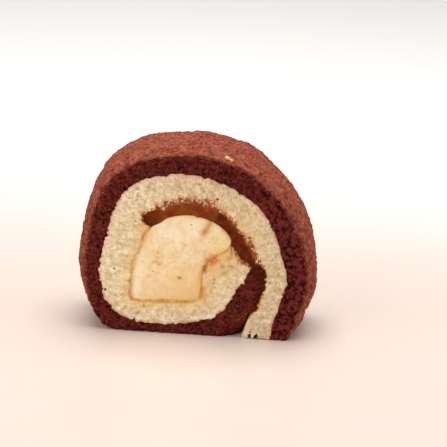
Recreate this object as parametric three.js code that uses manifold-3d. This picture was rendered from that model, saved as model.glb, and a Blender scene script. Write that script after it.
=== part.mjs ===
// One slice of a rolled cake, cut across the roll and standing on its flat base.
//
// A sheet baked in two layers, cocoa sponge under plain sponge, is wound once round a bar of
// custard. The cocoa sponge ends up outside. The inner end of the sheet is a tongue that stands
// to the right of the bar, and the outer end comes down behind it and rests on the table, so
// that a small three-cornered gap is left under the seam. Caramel sauce lies over the bar and
// runs down the back of the tongue.
//
// X runs across the cut face, Z up, and Y along the roll: the two cut faces look along -Y and +Y.
// The origin is on the table, under the middle of the slice. All sizes are in millimetres.

import * as THREE from "three";
import { mergeVertices } from "three/addons/utils/BufferGeometryUtils.js";
import Module from "manifold-3d";

const wasm = await Module();
wasm.setup();

// ---- Driving dimensions ----------------------------------------------------------------------

const SLICE = 28; // from cut face to cut face
const SWELL = 2.9; // how far the skin swells out between the two cut edges
const SWELL_POWER = 5; // the higher, the flatter the skin and the tighter its rounded edges
const GAP = 0.3; // between pieces that touch
const CUSTARD_SINK = 0.5; // the custard and the caramel end this far behind the cut faces
const CARAMEL_SINK = 0.7;
const SKIN_WAVE = 0.3; // height of the slow waves in the baked skin
const SKIN_WAVE_LENGTH = 17; // from crest to crest
const SKIN_WAVE_BEAT = 0.37; // a slower wave, this share as fast, makes the crests uneven
const SAUCE_WAVE = 0.5; // how far the sauce has soaked up into the sponge, in uneven fingers
const SAUCE_FINGER = 3.3; // from finger to finger
const SAUCE_FINGER_BEAT = 0.61;

// The line where the two sponges meet, from the inner end of the sheet to its outer end: down the
// tongue, left along the base, up, over, and down to the table again. cocoa is the thickness of
// the cocoa sponge there, up to the edge of the cut face, and swell is the share of SWELL that its
// skin has: none where it is the tongue or lies on the table.
const SHEET = [
  { x: 15.9, z: 21.2, cocoa: 5.9, swell: 0 },
  { x: 12.9, z: 16.1, cocoa: 8.0, swell: 0 },
  { x: 10.6, z: 12.2, cocoa: 7.2, swell: 0 },
  { x: 8.4, z: 8.6, cocoa: 4.9, swell: 0 },
  { x: 5.9, z: 6.6, cocoa: 6.4, swell: 0 },
  { x: 1.0, z: 4.8, cocoa: 5.4, swell: 0 },
  { x: -13.0, z: 2.9, cocoa: 4.0, swell: 0 },
  { x: -24.6, z: 6.2, cocoa: 5.7, swell: 0.15 },
  { x: -29.9, z: 16.4, cocoa: 3.8, swell: 1 },
  { x: -28.2, z: 29.8, cocoa: 5.4, swell: 1 },
  { x: -25.6, z: 40.6, cocoa: 5.2, swell: 1 },
  { x: -18.8, z: 48.2, cocoa: 5.6, swell: 1 },
  { x: -5.0, z: 51.2, cocoa: 5.5, swell: 1 },
  { x: 9.2, z: 48.2, cocoa: 6.4, swell: 1 },
  { x: 19.6, z: 40.4, cocoa: 5.9, swell: 1 },
  { x: 25.4, z: 28.6, cocoa: 6.7, swell: 1 },
  { x: 28.2, z: 18.8, cocoa: 5.8, swell: 1 },
  { x: 25.5, z: 8.2, cocoa: 5.9, swell: 0.9 },
  { x: 23.2, z: 0, cocoa: 5.6, swell: 0.4 },
];
const TONGUE_NOSE = 3.4; // the rounded inner end stands this far past the first station

// The sauce: the middle of its layer and its thickness, from the pool at the left end to the thin
// film on the back of the tongue.
const SAUCE = [
  { x: -16.3, z: 37.3, thick: 3.2 },
  { x: -13.8, z: 37.4, thick: 5.6 },
  { x: -9.7, z: 39.3, thick: 4.8 },
  { x: -3.2, z: 40.7, thick: 5.2 },
  { x: 2.6, z: 40.0, thick: 5.2 },
  { x: 7.2, z: 37.7, thick: 4.8 },
  { x: 10.2, z: 34.2, thick: 3.8 },
  { x: 12.9, z: 30.7, thick: 5.6 },
  { x: 15.7, z: 27.1, thick: 4.8 },
  { x: 18.2, z: 24.5, thick: 3.2 },
  { x: 21.1, z: 21.8, thick: 1.4 },
  { x: 21.8, z: 17.2, thick: 1.0 },
  { x: 20.7, z: 12.9, thick: 0.8 },
  { x: 18.4, z: 9.7, thick: 0.7 },
];
const FILM_FROM = 8; // the station where the sauce reaches the tongue
const FILM_THICK = 1.5; // thinner than this it is a film with even sides
const FINGER_FADE = 2; // the fingers have their full height where it is this much thicker
const FOOT_INNER = { x: 14.7, z: 0 }; // where the plain sponge of the outer end meets the table
const SEAM_TOP = { x: 17.2, z: 7.4 }; // top of the gap under the seam

// The bar of custard, as cut: a level base, an arched top and a lobe to the right.
const BAR_BASE_LEFT = { x: -19.0, z: 10.7 };
const BAR_BASE_RIGHT = { x: -0.2, z: 11.9 };
const BAR_CORNER = 1.2;
const BAR_RIGHT = [
  [1.3, 16.5],
  [1.9, 22.2],
  [5.2, 26.1],
  [9.2, 29.1],
];
const BAR_TOP = [
  [10.1, 31.2],
  [7.8, 34.5],
  [3.0, 37.3],
  [-3.0, 38.5],
  [-9.5, 37.2],
  [-14.3, 34.6],
];
const BAR_LEFT = [
  [-16.2, 32.4],
  [-17.9, 27.6],
  [-19.4, 22.6],
  [-20.0, 14.0],
];

const SHEET_STEPS = 7; // pieces between two stations of the sheet
const SAUCE_STEPS = 7;
const NOSE_STEPS = 7;
const SPLINE_STEPS = 5;
const SWELL_STEPS = 4; // rings from the middle of the slice to a cut face

// ---- Outlines in the plane of the cut face ---------------------------------------------------

const smooth = (t) => t * t * (3 - 2 * t);
const clamp01 = (t) => Math.min(1, Math.max(0, t));

// A curve through the stations. Each sample holds its point, its travel direction, the normal to
// the left of travel, the distance run from the start, and the stations' other sizes in between.
function samplesAlong(stations, steps) {
  const knots = stations.map((s) => new THREE.Vector3(s.x, 0, s.z));
  const curve = new THREE.CatmullRomCurve3(knots, false, "centripetal");
  const spans = stations.length - 1;
  const count = spans * steps;
  let run = 0;
  let before = knots[0];
  return Array.from({ length: count + 1 }, (_, i) => {
    const t = i / count;
    const from = Math.min(spans - 1, Math.floor(t * spans));
    const share = smooth(t * spans - from);
    const point = curve.getPoint(t);
    const travel = curve.getTangent(t);
    run += point.distanceTo(before);
    before = point;
    return {
      x: point.x,
      z: point.z,
      run,
      travel: { x: travel.x, z: travel.z },
      normal: { x: -travel.z, z: travel.x },
      size: (name) => stations[from][name] * (1 - share) + stations[from + 1][name] * share,
    };
  });
}

const sheet = samplesAlong(SHEET, SHEET_STEPS);
const sauce = samplesAlong(SAUCE, SAUCE_STEPS);

// A point beside a sample, on the side of its normal where the distance is positive.
const beside = (s, distance) =>
  new THREE.Vector2(s.x + s.normal.x * distance, s.z + s.normal.z * distance);

// A point ahead of a sample, or behind it where the distance is negative.
const ahead = (s, distance) =>
  new THREE.Vector2(s.x + s.travel.x * distance, s.z + s.travel.z * distance);

// Outline of the cocoa sponge at one depth. The sheet travels clockwise round the bar, so this
// sponge lies on the side of the normal. swell is what the skin stands out at this depth, grow
// widens the whole strip all round, and wave is the height of the skin's slow waves.
function cocoaOutline(swell, grow, wave) {
  const skin = sheet.map((s) => {
    const crest = (2 * Math.PI * s.run) / SKIN_WAVE_LENGTH;
    const ripple = wave * Math.sin(crest + swell) * Math.cos(crest * SKIN_WAVE_BEAT);
    const p = beside(s, s.size("cocoa") + (swell + ripple) * s.size("swell") + grow);
    return new THREE.Vector2(p.x, Math.max(p.y, 0));
  });
  const bond = sheet.map((s) => beside(s, GAP / 2 - grow));
  const nose = [];
  for (let k = 1; k < NOSE_STEPS; k++) {
    const turn = (Math.PI * k) / NOSE_STEPS;
    const half = SHEET[0].cocoa / 2 + grow;
    const across = SHEET[0].cocoa / 2 - half * Math.cos(turn);
    const forward = ahead(sheet[0], -(TONGUE_NOSE + grow) * Math.sin(turn));
    const sideways = beside(sheet[0], across);
    nose.push(forward.add(sideways).sub(new THREE.Vector2(sheet[0].x, sheet[0].z)));
  }
  bond[bond.length - 1].y = 0;
  return [...skin, ...bond.reverse(), ...nose];
}

// Outline of the sauce, grown all round: smooth below, where it lies on the custard, and in
// uneven fingers above, where it soaks into the sponge.
function sauceOutline(grow) {
  const above = sauce.map((s) => {
    const finger = (2 * Math.PI * s.run) / SAUCE_FINGER;
    const soaked = Math.sin(finger) * Math.cos(finger * SAUCE_FINGER_BEAT);
    const height = SAUCE_WAVE * clamp01((s.size("thick") - FILM_THICK) / FINGER_FADE) * soaked;
    return beside(s, s.size("thick") / 2 + height + grow);
  });
  const below = sauce.map((s) => beside(s, -s.size("thick") / 2 - grow));
  const tip = ahead(sauce[0], -SAUCE[0].thick / 2 - grow);
  const end = ahead(sauce.at(-1), SAUCE.at(-1).thick / 2 + grow);
  return [tip, ...below, end, ...above.reverse()];
}

// Outline of the custard bar: base and corners as lines and curves, the rest as splines.
function barOutline(grow) {
  const bar = new THREE.Shape();
  const toPoints = (list) => list.map(([x, z]) => new THREE.Vector2(x, z));
  bar.moveTo(BAR_BASE_LEFT.x + BAR_CORNER, BAR_BASE_LEFT.z);
  bar.lineTo(BAR_BASE_RIGHT.x - BAR_CORNER, BAR_BASE_RIGHT.z);
  bar.quadraticCurveTo(
    BAR_BASE_RIGHT.x + BAR_CORNER / 2,
    BAR_BASE_RIGHT.z,
    BAR_BASE_RIGHT.x + BAR_CORNER,
    BAR_BASE_RIGHT.z + BAR_CORNER * 1.5,
  );
  bar.splineThru(toPoints([...BAR_RIGHT, ...BAR_TOP, ...BAR_LEFT]));
  bar.quadraticCurveTo(
    BAR_BASE_LEFT.x - BAR_CORNER / 2,
    BAR_BASE_LEFT.z,
    BAR_BASE_LEFT.x + BAR_CORNER,
    BAR_BASE_LEFT.z,
  );
  const points = bar.getPoints(SPLINE_STEPS).slice(0, -1);
  return points.map((p, i) => {
    const before = points[(i + points.length - 1) % points.length];
    const after = points[(i + 1) % points.length];
    const along = after.clone().sub(before).normalize();
    return new THREE.Vector2(p.x + along.y * grow, p.y - along.x * grow);
  });
}

// Everything that the sheet is wound round, with the plain sponge of both its ends: inside the
// line where the sponges meet, down to the table, and back up behind the tongue.
function insideOutline() {
  const wound = sheet.map((s) => beside(s, -GAP / 2));
  wound[wound.length - 1].y = 0;
  const film = sauce.slice(FILM_FROM * SAUCE_STEPS);
  const back = film.map((s) => beside(s, 0)).reverse();
  const foot = new THREE.Vector2(FOOT_INNER.x, FOOT_INNER.z);
  const seam = new THREE.Vector2(SEAM_TOP.x, SEAM_TOP.z);
  return [...wound, foot, seam, ...back];
}

// ---- Solids ----------------------------------------------------------------------------------

// A closed skin over a row of outlines with the same number of points, each at its own depth.
function loft(outlines, depths) {
  const ring = outlines[0].length;
  const positions = outlines.flatMap((outline, k) => outline.flatMap((p) => [p.x, depths[k], p.y]));
  const faces = [];
  for (let k = 0; k + 1 < outlines.length; k++) {
    for (let i = 0; i < ring; i++) {
      const j = (i + 1) % ring;
      const a = k * ring;
      const b = a + ring;
      faces.push(a + i, b + j, a + j, a + i, b + i, b + j);
    }
  }
  const back = (outlines.length - 1) * ring;
  for (const [a, b, c] of THREE.ShapeUtils.triangulateShape(outlines[0], [])) {
    faces.push(a, b, c);
  }
  for (const [a, b, c] of THREE.ShapeUtils.triangulateShape(outlines.at(-1), [])) {
    faces.push(back + a, back + c, back + b);
  }
  const geometry = new THREE.BufferGeometry();
  geometry.setAttribute("position", new THREE.Float32BufferAttribute(positions, 3));
  geometry.setIndex(faces);
  return geometry;
}

// Outlines run anticlockwise when seen with X to the right and Z up, that is from the -Y side.
function anticlockwise(outline) {
  return THREE.ShapeUtils.isClockWise(outline) ? outline.slice().reverse() : outline;
}

// A straight length of the roll with this outline, between two cut faces sunk by the same amount.
function prism(outline, sink) {
  const half = SLICE / 2 - sink;
  const turned = anticlockwise(outline);
  return loft([turned, turned], [-half, half]);
}

function toSolid(geometry) {
  const merged = mergeVertices(geometry, 1e-4);
  return new wasm.Manifold(
    new wasm.Mesh({
      numProp: 3,
      vertProperties: new Float32Array(merged.attributes.position.array),
      triVerts: new Uint32Array(merged.index.array),
    }),
  );
}

// The largest body of a solid as a geometry: a cut can leave loose scraps beside it.
function toGeometry(solid) {
  const bodies = solid.decompose().sort((a, b) => b.volume() - a.volume());
  const mesh = bodies[0].getMesh();
  const geometry = new THREE.BufferGeometry();
  geometry.setAttribute("position", new THREE.Float32BufferAttribute(mesh.vertProperties, 3));
  geometry.setIndex([...mesh.triVerts]);
  return geometry;
}

const PAST = -3; // a cutter runs this far past both cut faces

// The cocoa sponge keeps its section through the slice, but its skin swells between the edges.
function cocoaGeometry() {
  const outlines = [];
  const depths = [];
  for (let k = -SWELL_STEPS; k <= SWELL_STEPS; k++) {
    const depth = Math.sin((k * Math.PI) / (2 * SWELL_STEPS));
    const swell = SWELL * (1 - Math.abs(depth) ** SWELL_POWER);
    outlines.push(anticlockwise(cocoaOutline(swell, 0, SKIN_WAVE)));
    depths.push((depth * SLICE) / 2);
  }
  return loft(outlines, depths);
}

const cocoaCutter = () => toSolid(prism(cocoaOutline(0, GAP, 0), PAST));
const barCutter = () => toSolid(prism(barOutline(GAP), PAST));
const sauceCutter = () => toSolid(prism(sauceOutline(GAP), PAST));

const barGeometry = () => prism(barOutline(0), CUSTARD_SINK);

function sauceGeometry() {
  const whole = toSolid(prism(sauceOutline(0), CARAMEL_SINK));
  return toGeometry(whole.subtract(barCutter()).subtract(cocoaCutter()));
}

function plainGeometry() {
  const whole = toSolid(prism(insideOutline(), 0));
  const hollow = whole.subtract(barCutter()).subtract(sauceCutter());
  return toGeometry(hollow.subtract(cocoaCutter()));
}

// ---- The slice -------------------------------------------------------------------------------

function piece(name, geometry, color, roughness) {
  geometry.computeVertexNormals();
  const material = new THREE.MeshStandardMaterial({ color, roughness, metalness: 0 });
  const mesh = new THREE.Mesh(geometry, material);
  mesh.name = name;
  return mesh;
}

const slice = new THREE.Group();
slice.name = "rolled_cake_slice";
slice.add(piece("cocoa_sponge", cocoaGeometry(), 0x6b3024, 0.95));
slice.add(piece("plain_sponge", plainGeometry(), 0xe8cfa4, 0.92));
slice.add(piece("custard_bar", barGeometry(), 0xf0d3a2, 0.45));
slice.add(piece("caramel_sauce", sauceGeometry(), 0x6e2f10, 0.35));

export default slice;
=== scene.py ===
# %% [markdown]
# # A slice of rolled cake
#
# This lesson dresses a plain model of a cake slice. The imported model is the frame: four plain
# solids in their true places. Each one is replaced by a dense surface worked out with numpy, so
# that the crumb, the baked skin and the sauce are real relief and not only paint.
#
# All sizes of the slice are written in millimetres and turned into metres once, when a mesh is
# made. Only the floor, the lights and the camera's distance are given in metres.

# %% Load the frame
import math

import bpy
import numpy as np
from mathutils import Matrix, Vector


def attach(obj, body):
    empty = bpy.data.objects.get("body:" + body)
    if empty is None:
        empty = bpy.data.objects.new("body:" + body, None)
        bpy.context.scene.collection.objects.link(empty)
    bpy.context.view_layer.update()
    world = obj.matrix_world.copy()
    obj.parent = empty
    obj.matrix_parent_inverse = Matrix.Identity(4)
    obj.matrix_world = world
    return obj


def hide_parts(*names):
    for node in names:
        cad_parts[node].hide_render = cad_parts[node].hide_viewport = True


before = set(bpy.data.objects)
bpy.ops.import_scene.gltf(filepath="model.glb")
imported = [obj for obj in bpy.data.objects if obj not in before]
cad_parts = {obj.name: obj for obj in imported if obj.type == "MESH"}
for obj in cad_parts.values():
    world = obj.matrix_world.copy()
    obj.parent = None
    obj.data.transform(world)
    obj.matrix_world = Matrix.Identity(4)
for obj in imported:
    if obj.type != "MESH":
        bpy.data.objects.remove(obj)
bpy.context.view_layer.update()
MM = 0.001
print("nodes:", sorted(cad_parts))

# %% [markdown]
# ## The shape of the roll
#
# The sheet was baked in two layers and wound once round a bar of custard. One line is enough to
# describe the winding: the line where the two sponges meet. It could be drawn as a spiral formula,
# but a real roll sags, so it is a smooth curve through a few stations instead. Each station also
# says how thick the cocoa sponge is there and how much its skin swells out between the cut edges.

# %% Sizes of the slice
# along the roll, and half of it
SLICE = 28.0
HALF = SLICE / 2
# how far the skin stands out half way between the cuts, and how late it turns back to them
SWELL, SWELL_POWER = 2.9, 5
# slow waves of the skin: height, length, and the ratio that makes them swell and fade
SKIN_WAVE, SKIN_WAVE_LENGTH, SKIN_WAVE_BEAT = 0.3, 17.0, 0.37
# how far the free end of the sheet is rounded off, and the turn that a rounded end's rows fill
TONGUE_NOSE, NOSE_TURN = 3.4, 0.48 * np.pi

# x, z, thickness of the cocoa sponge, share of the swell
SHEET = np.array([
    (15.9, 21.2, 5.3, 0.0),
    (12.9, 16.1, 7.8, 0.0),
    (10.6, 12.2, 7.2, 0.1),
    (8.4, 8.6, 4.9, 1.7),
    (5.9, 6.6, 6.4, 1.5),
    (1.0, 4.8, 5.4, 0.2),
    (-13.0, 2.9, 4.0, 0.0),
    (-24.6, 6.2, 5.7, 0.15),
    (-29.9, 16.4, 3.8, 1.0),
    (-28.2, 29.8, 5.4, 1.0),
    (-25.6, 40.6, 5.2, 1.0),
    (-18.8, 48.2, 5.6, 1.0),
    (-5.0, 51.2, 5.5, 1.0),
    (9.2, 48.2, 6.4, 1.0),
    (19.6, 40.4, 5.9, 1.0),
    (25.4, 28.6, 6.7, 1.0),
    (27.7, 19.3, 6.3, 1.0),
    (25.1, 8.4, 6.3, 0.9),
    (23.2, 0.0, 5.6, 0.4),
])

# x, z, thickness of the caramel
SAUCE = np.array([
    (-15.2, 36.7, 4.0),
    (-13.4, 37.0, 5.2),
    (-9.7, 39.3, 4.8),
    (-3.2, 40.7, 5.2),
    (2.6, 40.0, 5.2),
    (6.9, 37.4, 4.0),
    (9.9, 34.0, 3.1),
    (12.8, 30.7, 5.2),
    (15.4, 26.8, 4.0),
    (17.3, 24.1, 2.0),
    (19.7, 22.5, 1.3),
    (20.4, 20.4, 1.1),
    (20.5, 17.3, 1.0),
    (19.6, 13.0, 0.8),
    (18.2, 9.8, 0.7),
    (16.9, 8.0, 0.6),
])

# The custard bar as cut: a base line with two corners, a lobe to the right and an arched top
BAR = np.array([
    (-18.6, 10.8), (-8.6, 11.3), (-0.8, 11.75), (0.7, 12.8), (1.3, 16.5), (1.9, 22.2), (5.2, 26.1),
    (9.2, 29.1), (10.1, 31.2), (7.8, 34.5), (3.0, 37.3), (-3.0, 38.4), (-9.3, 37.2), (-11.8, 35.4),
    (-14.2, 34.1), (-15.8, 31.9), (-17.2, 27.4), (-18.8, 24.2), (-19.6, 20.5), (-19.9, 13.6), (-19.6, 11.4),
])
BAR_MIDDLE = np.array((-6.0, 24.0))

# on the end of the sheet: where it leaves the tongue, and the inner corner of its foot
SEAM_TOP, FOOT_INNER = (17.2, 7.4), (14.7, 0.0)
# how far below the cut the two fillings lie
CUSTARD_SINK, CARAMEL_SINK = 0.2, 0.6
print("stations: sheet", len(SHEET), "sauce", len(SAUCE), "bar", len(BAR))

# %% [markdown]
# ## Smooth curves through stations
#
# Blender has curve objects, but numbers along a curve are easier to carry in numpy. A centripetal
# Catmull-Rom curve passes through every station and never loops between two that lie close.

# %% Curves
def smooth(t):
    """Eases from 0 to 1: three t squared minus two t cubed, with t held between 0 and 1."""
    t = np.clip(t, 0.0, 1.0)
    return t * t * (3 - 2 * t)


def curve_at(knots, t):
    """Points at station numbers t. Between two stations the curve is a cubic whose end slopes come
    from the neighbours, with time counted as the square root of the distance between stations."""
    ends = np.vstack([2 * knots[0] - knots[1], knots, 2 * knots[-1] - knots[-2]])
    span = np.clip(np.floor(t).astype(int), 0, len(knots) - 2)
    w = (t - span)[:, None]
    p0, p1, p2, p3 = (ends[span + k] for k in range(4))
    d0, d1, d2 = (
        np.sqrt(np.linalg.norm(b - a, axis=1))[:, None] for a, b in ((p0, p1), (p1, p2), (p2, p3))
    )
    m1 = ((p1 - p0) / d0 - (p2 - p0) / (d0 + d1) + (p2 - p1) / d1) * d1
    m2 = ((p2 - p1) / d1 - (p3 - p1) / (d1 + d2) + (p3 - p2) / d2) * d1
    c2 = -3 * p1 + 3 * p2 - 2 * m1 - m2
    c3 = 2 * p1 - 2 * p2 + m1 + m2
    return p1 + m1 * w + c2 * w * w + c3 * w**3


def distance_run(points):
    """Distance from the first point of a line to each of its points, along the line."""
    return np.concatenate([[0], np.cumsum(np.linalg.norm(np.diff(points, axis=0), axis=1))])


def even_steps(points, count):
    """Positions in the list, in list units, of count points spaced evenly by distance along it."""
    run = distance_run(points)
    return np.interp(np.linspace(0, run[-1], count), run, np.arange(len(points)))


def pick(points, position):
    """Points of a line at fractional list positions, straight between one point and the next."""
    steps = np.arange(len(points))
    return np.column_stack([np.interp(position, steps, points[:, k]) for k in (0, 1)])


def line_through(knots, count):
    """This many points on the straight lines from knot to knot, as many on one as on the next."""
    return pick(np.array(knots), np.linspace(0, len(knots) - 1, count))


def closed_curve(knots, count):
    """Evenly spaced points on the closed smooth curve through the knots, starting at the first."""
    wrapped = np.vstack([knots[-3:], knots, knots[:3]])
    fine = curve_at(wrapped, np.linspace(3, 3 + len(knots), 60 * len(knots)))
    return pick(fine, even_steps(fine, count + 1))[:-1]


def sample_path(stations, count):
    """Evenly spaced samples of a station list: station number, point, travel, left-hand normal,
    distance run, and the other columns eased from station to station."""
    knots = stations[:, :2]
    fine = np.linspace(0, len(knots) - 1, 40 * len(knots))
    t = np.interp(even_steps(curve_at(knots, fine), count), np.arange(len(fine)), fine)
    point = curve_at(knots, t)
    travel = np.gradient(point, axis=0)
    travel /= np.linalg.norm(travel, axis=1)[:, None]
    normal = np.column_stack([-travel[:, 1], travel[:, 0]])
    at = np.clip(np.floor(t).astype(int), 0, len(knots) - 2)
    share = smooth(t - at)[:, None]
    sizes = stations[at, 2:] * (1 - share) + stations[at + 1, 2:] * share
    return t, point, travel, normal, distance_run(point), sizes


# %% [markdown]
# ## Random relief that is the same every time
#
# Crumb is random, but the model has to come out the same on every run. So the randomness is a
# hash: whole-number cell coordinates are mixed into a number between 0 and 1, with no generator
# whose state could drift. Three kinds of relief are made from it. Lumps are smooth hills and dips.
# Puffs are lumps whose dips are folded up, so that sharp creases part them. Pores are round holes
# with a size of their own, at most one to a cell. The last number of a call is its salt: it only
# sets one use of the noise apart from the next.

# %% Noise
def cell_random(cell, salt):
    """A number from 0 to 1 for each whole-number cell: its coordinates times large primes, mixed
    by shifts and exclusive-or, and scaled."""
    c = cell.astype(np.int64)
    h = (c[..., 0] * 73856093) ^ (c[..., 1] * 19349663) ^ (c[..., 2] * 83492791) ^ (salt * 2654435761)
    h = h & 0xFFFFFFFF
    h = ((h ^ (h >> 16)) * 0x45D9F3B) & 0xFFFFFFFF
    h = ((h ^ (h >> 16)) * 0x45D9F3B) & 0xFFFFFFFF
    return ((h ^ (h >> 16)) & 0xFFFFFF) / float(0xFFFFFF)


def lumps(p, size, salt):
    """Smooth hills from -1 to 1: random heights at the corners of boxes of this size, blended
    inside each box by the easing curve. The size may differ along the three axes."""
    q = p / size
    base = np.floor(q)
    f = smooth(q - base)
    total = np.zeros(len(p))
    for corner in np.ndindex(2, 2, 2):
        weight = np.prod(np.where(np.array(corner) == 1, f, 1 - f), axis=1)
        total += weight * cell_random(base + corner, salt)
    return 2 * total - 1


def lumps_along(run, size, salt):
    """Lumps along a line, by the distance run on it."""
    return lumps(np.column_stack([run, 0 * run, 0 * run]), size, salt)


def puffs(p, size, salt):
    """Rounded puffs with sharp creases between them, about 0 on average: the absolute value of
    lumps, less 0.35."""
    return np.abs(lumps(p, size, salt)) - 0.35


def pores(p, cell, small, large, share, salt):
    """Depth from 0 to 1 of the deepest pore at each point: one pore in this share of the cells, at
    a random place, with a radius between small and large, deepest in its middle."""
    base = np.floor(p / cell)
    deepest = np.zeros(len(p))
    for step in np.ndindex(3, 3, 3):
        c = base + step - 1
        middle = np.column_stack([cell_random(c, salt + k) for k in range(3)])
        radius = small + (large - small) * cell_random(c, salt + 3) ** 2
        there = cell_random(c, salt + 4) < share
        away = np.linalg.norm(p - (c + middle) * cell, axis=1)
        deepest = np.maximum(deepest, there * smooth(1.25 * (1 - away / radius)))
    return deepest


def crumble(p):
    """Sideways shift of the crumb near a cut, the same for both sponges so that they still meet:
    coarse and fine lumps, one set for x and one for z."""
    shift = np.zeros_like(p)
    shift[:, 0] = 0.25 * lumps(p, 1.9, 61) + 0.18 * lumps(p, 0.85, 62)
    shift[:, 2] = 0.25 * lumps(p, 1.9, 63) + 0.18 * lumps(p, 0.85, 64)
    return shift


# distance along the sheet, and how strongly the line where the sponges meet strays there
STRAY = np.array([(0, 0), (6, 0.3), (20, 0.35), (40, 0.6), (55, 0.85), (85, 0.85), (100, 0.4), (180, 0.4)])


def waver(run, depth):
    """How far the line where the sponges meet strays from its smooth course, by distance along the
    sheet and depth: lumps of three sizes times the strength in the table."""
    run, depth = np.broadcast_arrays(run, depth)
    place = np.stack([run, depth / 3, 0 * run], -1).reshape(-1, 3)
    stray = 0.36 * lumps(place, 3.4, 73) + 0.2 * lumps(place, 1.3, 74) + 0.12 * lumps(place, 0.65, 75)
    return stray.reshape(run.shape) * np.interp(run, STRAY[:, 0], STRAY[:, 1])


def away_from(p, line):
    """Distance in the plane of the cut face from each point to the nearest point of a line."""
    nearest = np.full(len(p), np.inf)
    for start in range(0, len(line), 40):
        gap = p[:, None, ::2] - line[None, start : start + 40]
        nearest = np.minimum(nearest, (gap**2).sum(2).min(1))
    return np.sqrt(nearest)


def bell(distance, radius):
    """1 at distance 0, falling away smoothly and nearly 0 at twice the radius: e to the power of
    minus the square of distance over radius."""
    return np.exp(-((distance / radius) ** 2))


def band(distance, low, high, fade):
    """1 between two distances, easing to 0 over the fade on either side."""
    return smooth((distance - low + fade) / fade) * smooth((high + fade - distance) / fade)


# %% [markdown]
# ## From a grid of points to a mesh
#
# Every piece here is a profile carried along a path: rows along the path, columns round the
# profile. The columns close on themselves, and one flat face closes each end. Normals are worked
# out on the grid, so that relief can be pushed straight out of the surface before the mesh exists.

# %% Grid helpers
def in_space(plane, depths):
    """Points x, y, z from places x, z in the plane of the cut and their depths y."""
    return np.stack([plane[..., 0], np.broadcast_to(depths, plane.shape[:-1]), plane[..., 1]], -1)


def outward_normals(grid):
    """Unit normals of a grid that closes on itself along its columns: the cross product of the
    differences along rows and along columns, turned away from the middle of each profile."""
    along = np.gradient(grid, axis=0)
    around = np.roll(grid, -1, axis=1) - np.roll(grid, 1, axis=1)
    normal = np.cross(around, along)
    normal /= np.maximum(np.linalg.norm(normal, axis=2), 1e-9)[..., None]
    outward = (normal * (grid - grid.mean(axis=1, keepdims=True))).sum()
    return normal if outward > 0 else -normal


def raised(grid, relief, still):
    """The grid with every point moved along its normal by its relief, except in still columns."""
    relief = np.where(still, 0, relief.reshape(grid.shape[:2]))
    return grid + outward_normals(grid) * relief[..., None]


def mesh_object(name, points, loops, starts, values):
    """An object from arrays: points in millimetres, corner numbers and where each face starts.
    values are named numbers kept on the points for the materials."""
    mesh = bpy.data.meshes.new(name)
    mesh.vertices.add(len(points))
    mesh.vertices.foreach_set("co", (points * MM).astype(np.float32).ravel())
    mesh.loops.add(len(loops))
    mesh.loops.foreach_set("vertex_index", loops.astype(np.int32))
    mesh.polygons.add(len(starts))
    mesh.polygons.foreach_set("loop_start", starts.astype(np.int32))
    mesh.polygons.foreach_set("use_smooth", np.ones(len(starts), dtype=bool))
    mesh.update(calc_edges=True)
    mesh.validate()
    for key, numbers in values.items():
        layer = mesh.attributes.new(key, "FLOAT", "POINT")
        layer.data.foreach_set("value", numbers.ravel().astype(np.float32))
    face_outward(mesh)
    made = bpy.data.objects.new(name, mesh)
    bpy.context.scene.collection.objects.link(made)
    return made


def face_outward(mesh):
    """Turns the faces round when the volume that they enclose, the sum of the tetrahedra from the
    origin to each triangle, comes out negative."""
    mesh.calc_loop_triangles()
    corner = np.empty(len(mesh.loop_triangles) * 3, dtype=np.int32)
    mesh.loop_triangles.foreach_get("vertices", corner)
    place = np.empty(len(mesh.vertices) * 3)
    mesh.vertices.foreach_get("co", place)
    a, b, c = place.reshape(-1, 3)[corner.reshape(-1, 3)].transpose(1, 0, 2)
    volume = np.einsum("ij,ij->i", a, np.cross(b, c)).sum() / 6
    if volume < 0:
        mesh.flip_normals()
    print(f"{mesh.name}: {len(corner) // 3} triangles, {abs(volume) * 1e6:.2f} cm3")


def closed_tube(name, grid, values):
    """A mesh from rows of closed profiles: one quad between neighbours, the last column joined to
    the first, and a single face over each end."""
    rows, cols, _ = grid.shape
    r, c = np.meshgrid(np.arange(rows - 1), np.arange(cols), indexing="ij")
    n = (c + 1) % cols
    quads = np.stack([r * cols + c, r * cols + n, (r + 1) * cols + n, (r + 1) * cols + c], -1)
    last = (rows - 1) * cols + np.arange(cols)
    loops = np.concatenate([quads.ravel(), np.arange(cols)[::-1], last])
    end = quads.size
    starts = np.concatenate([np.arange(0, end, 4), [end, end + cols]])
    return mesh_object(name, grid.reshape(-1, 3), loops, starts, values)


# %% [markdown]
# ## The cocoa sponge
#
# The outer layer is one long strip: its profile goes across the front cut face, over the swollen
# skin, back across the other cut face and along the hidden side where the two sponges are joined.
# Carried along the sheet, that profile makes the tongue inside, the flat base and the outer wall.
#
# The skin swells between the cuts and has a few slow waves where the roll was pressed. Its edges
# are rounded and nibbled: a knife drags crumb off them, more here and less there, so lumps set how
# far each bit of the edge is drawn back.

# %% Cocoa sponge: profile
def swell_at(y):
    """How far the skin stands out at a depth: the swell times one minus the fifth power of the
    share of the way from the middle to a cut face."""
    return SWELL * (1 - np.abs(y / HALF) ** SWELL_POWER)


def wall_depths(count):
    """Depths from the front face to just short of the back face, closer together near the faces:
    half the slice times the sine of even angles."""
    return HALF * np.sin(np.linspace(-np.pi / 2, np.pi / 2, count, endpoint=False))


def profile(front, outer, joint):
    """Closed profile of a layer: share of the way across, and depth. It goes across the front
    face, along the outer side, back across the back face and along the joined side."""
    across = np.linspace(0, 1, front, endpoint=False)
    share = np.concatenate([across, np.ones(len(outer)), 1 - across, np.zeros(joint)])
    depth = np.concatenate([
        np.full(front, -HALF), outer, np.full(front, HALF), -wall_depths(joint),
    ])
    return share, depth


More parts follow.
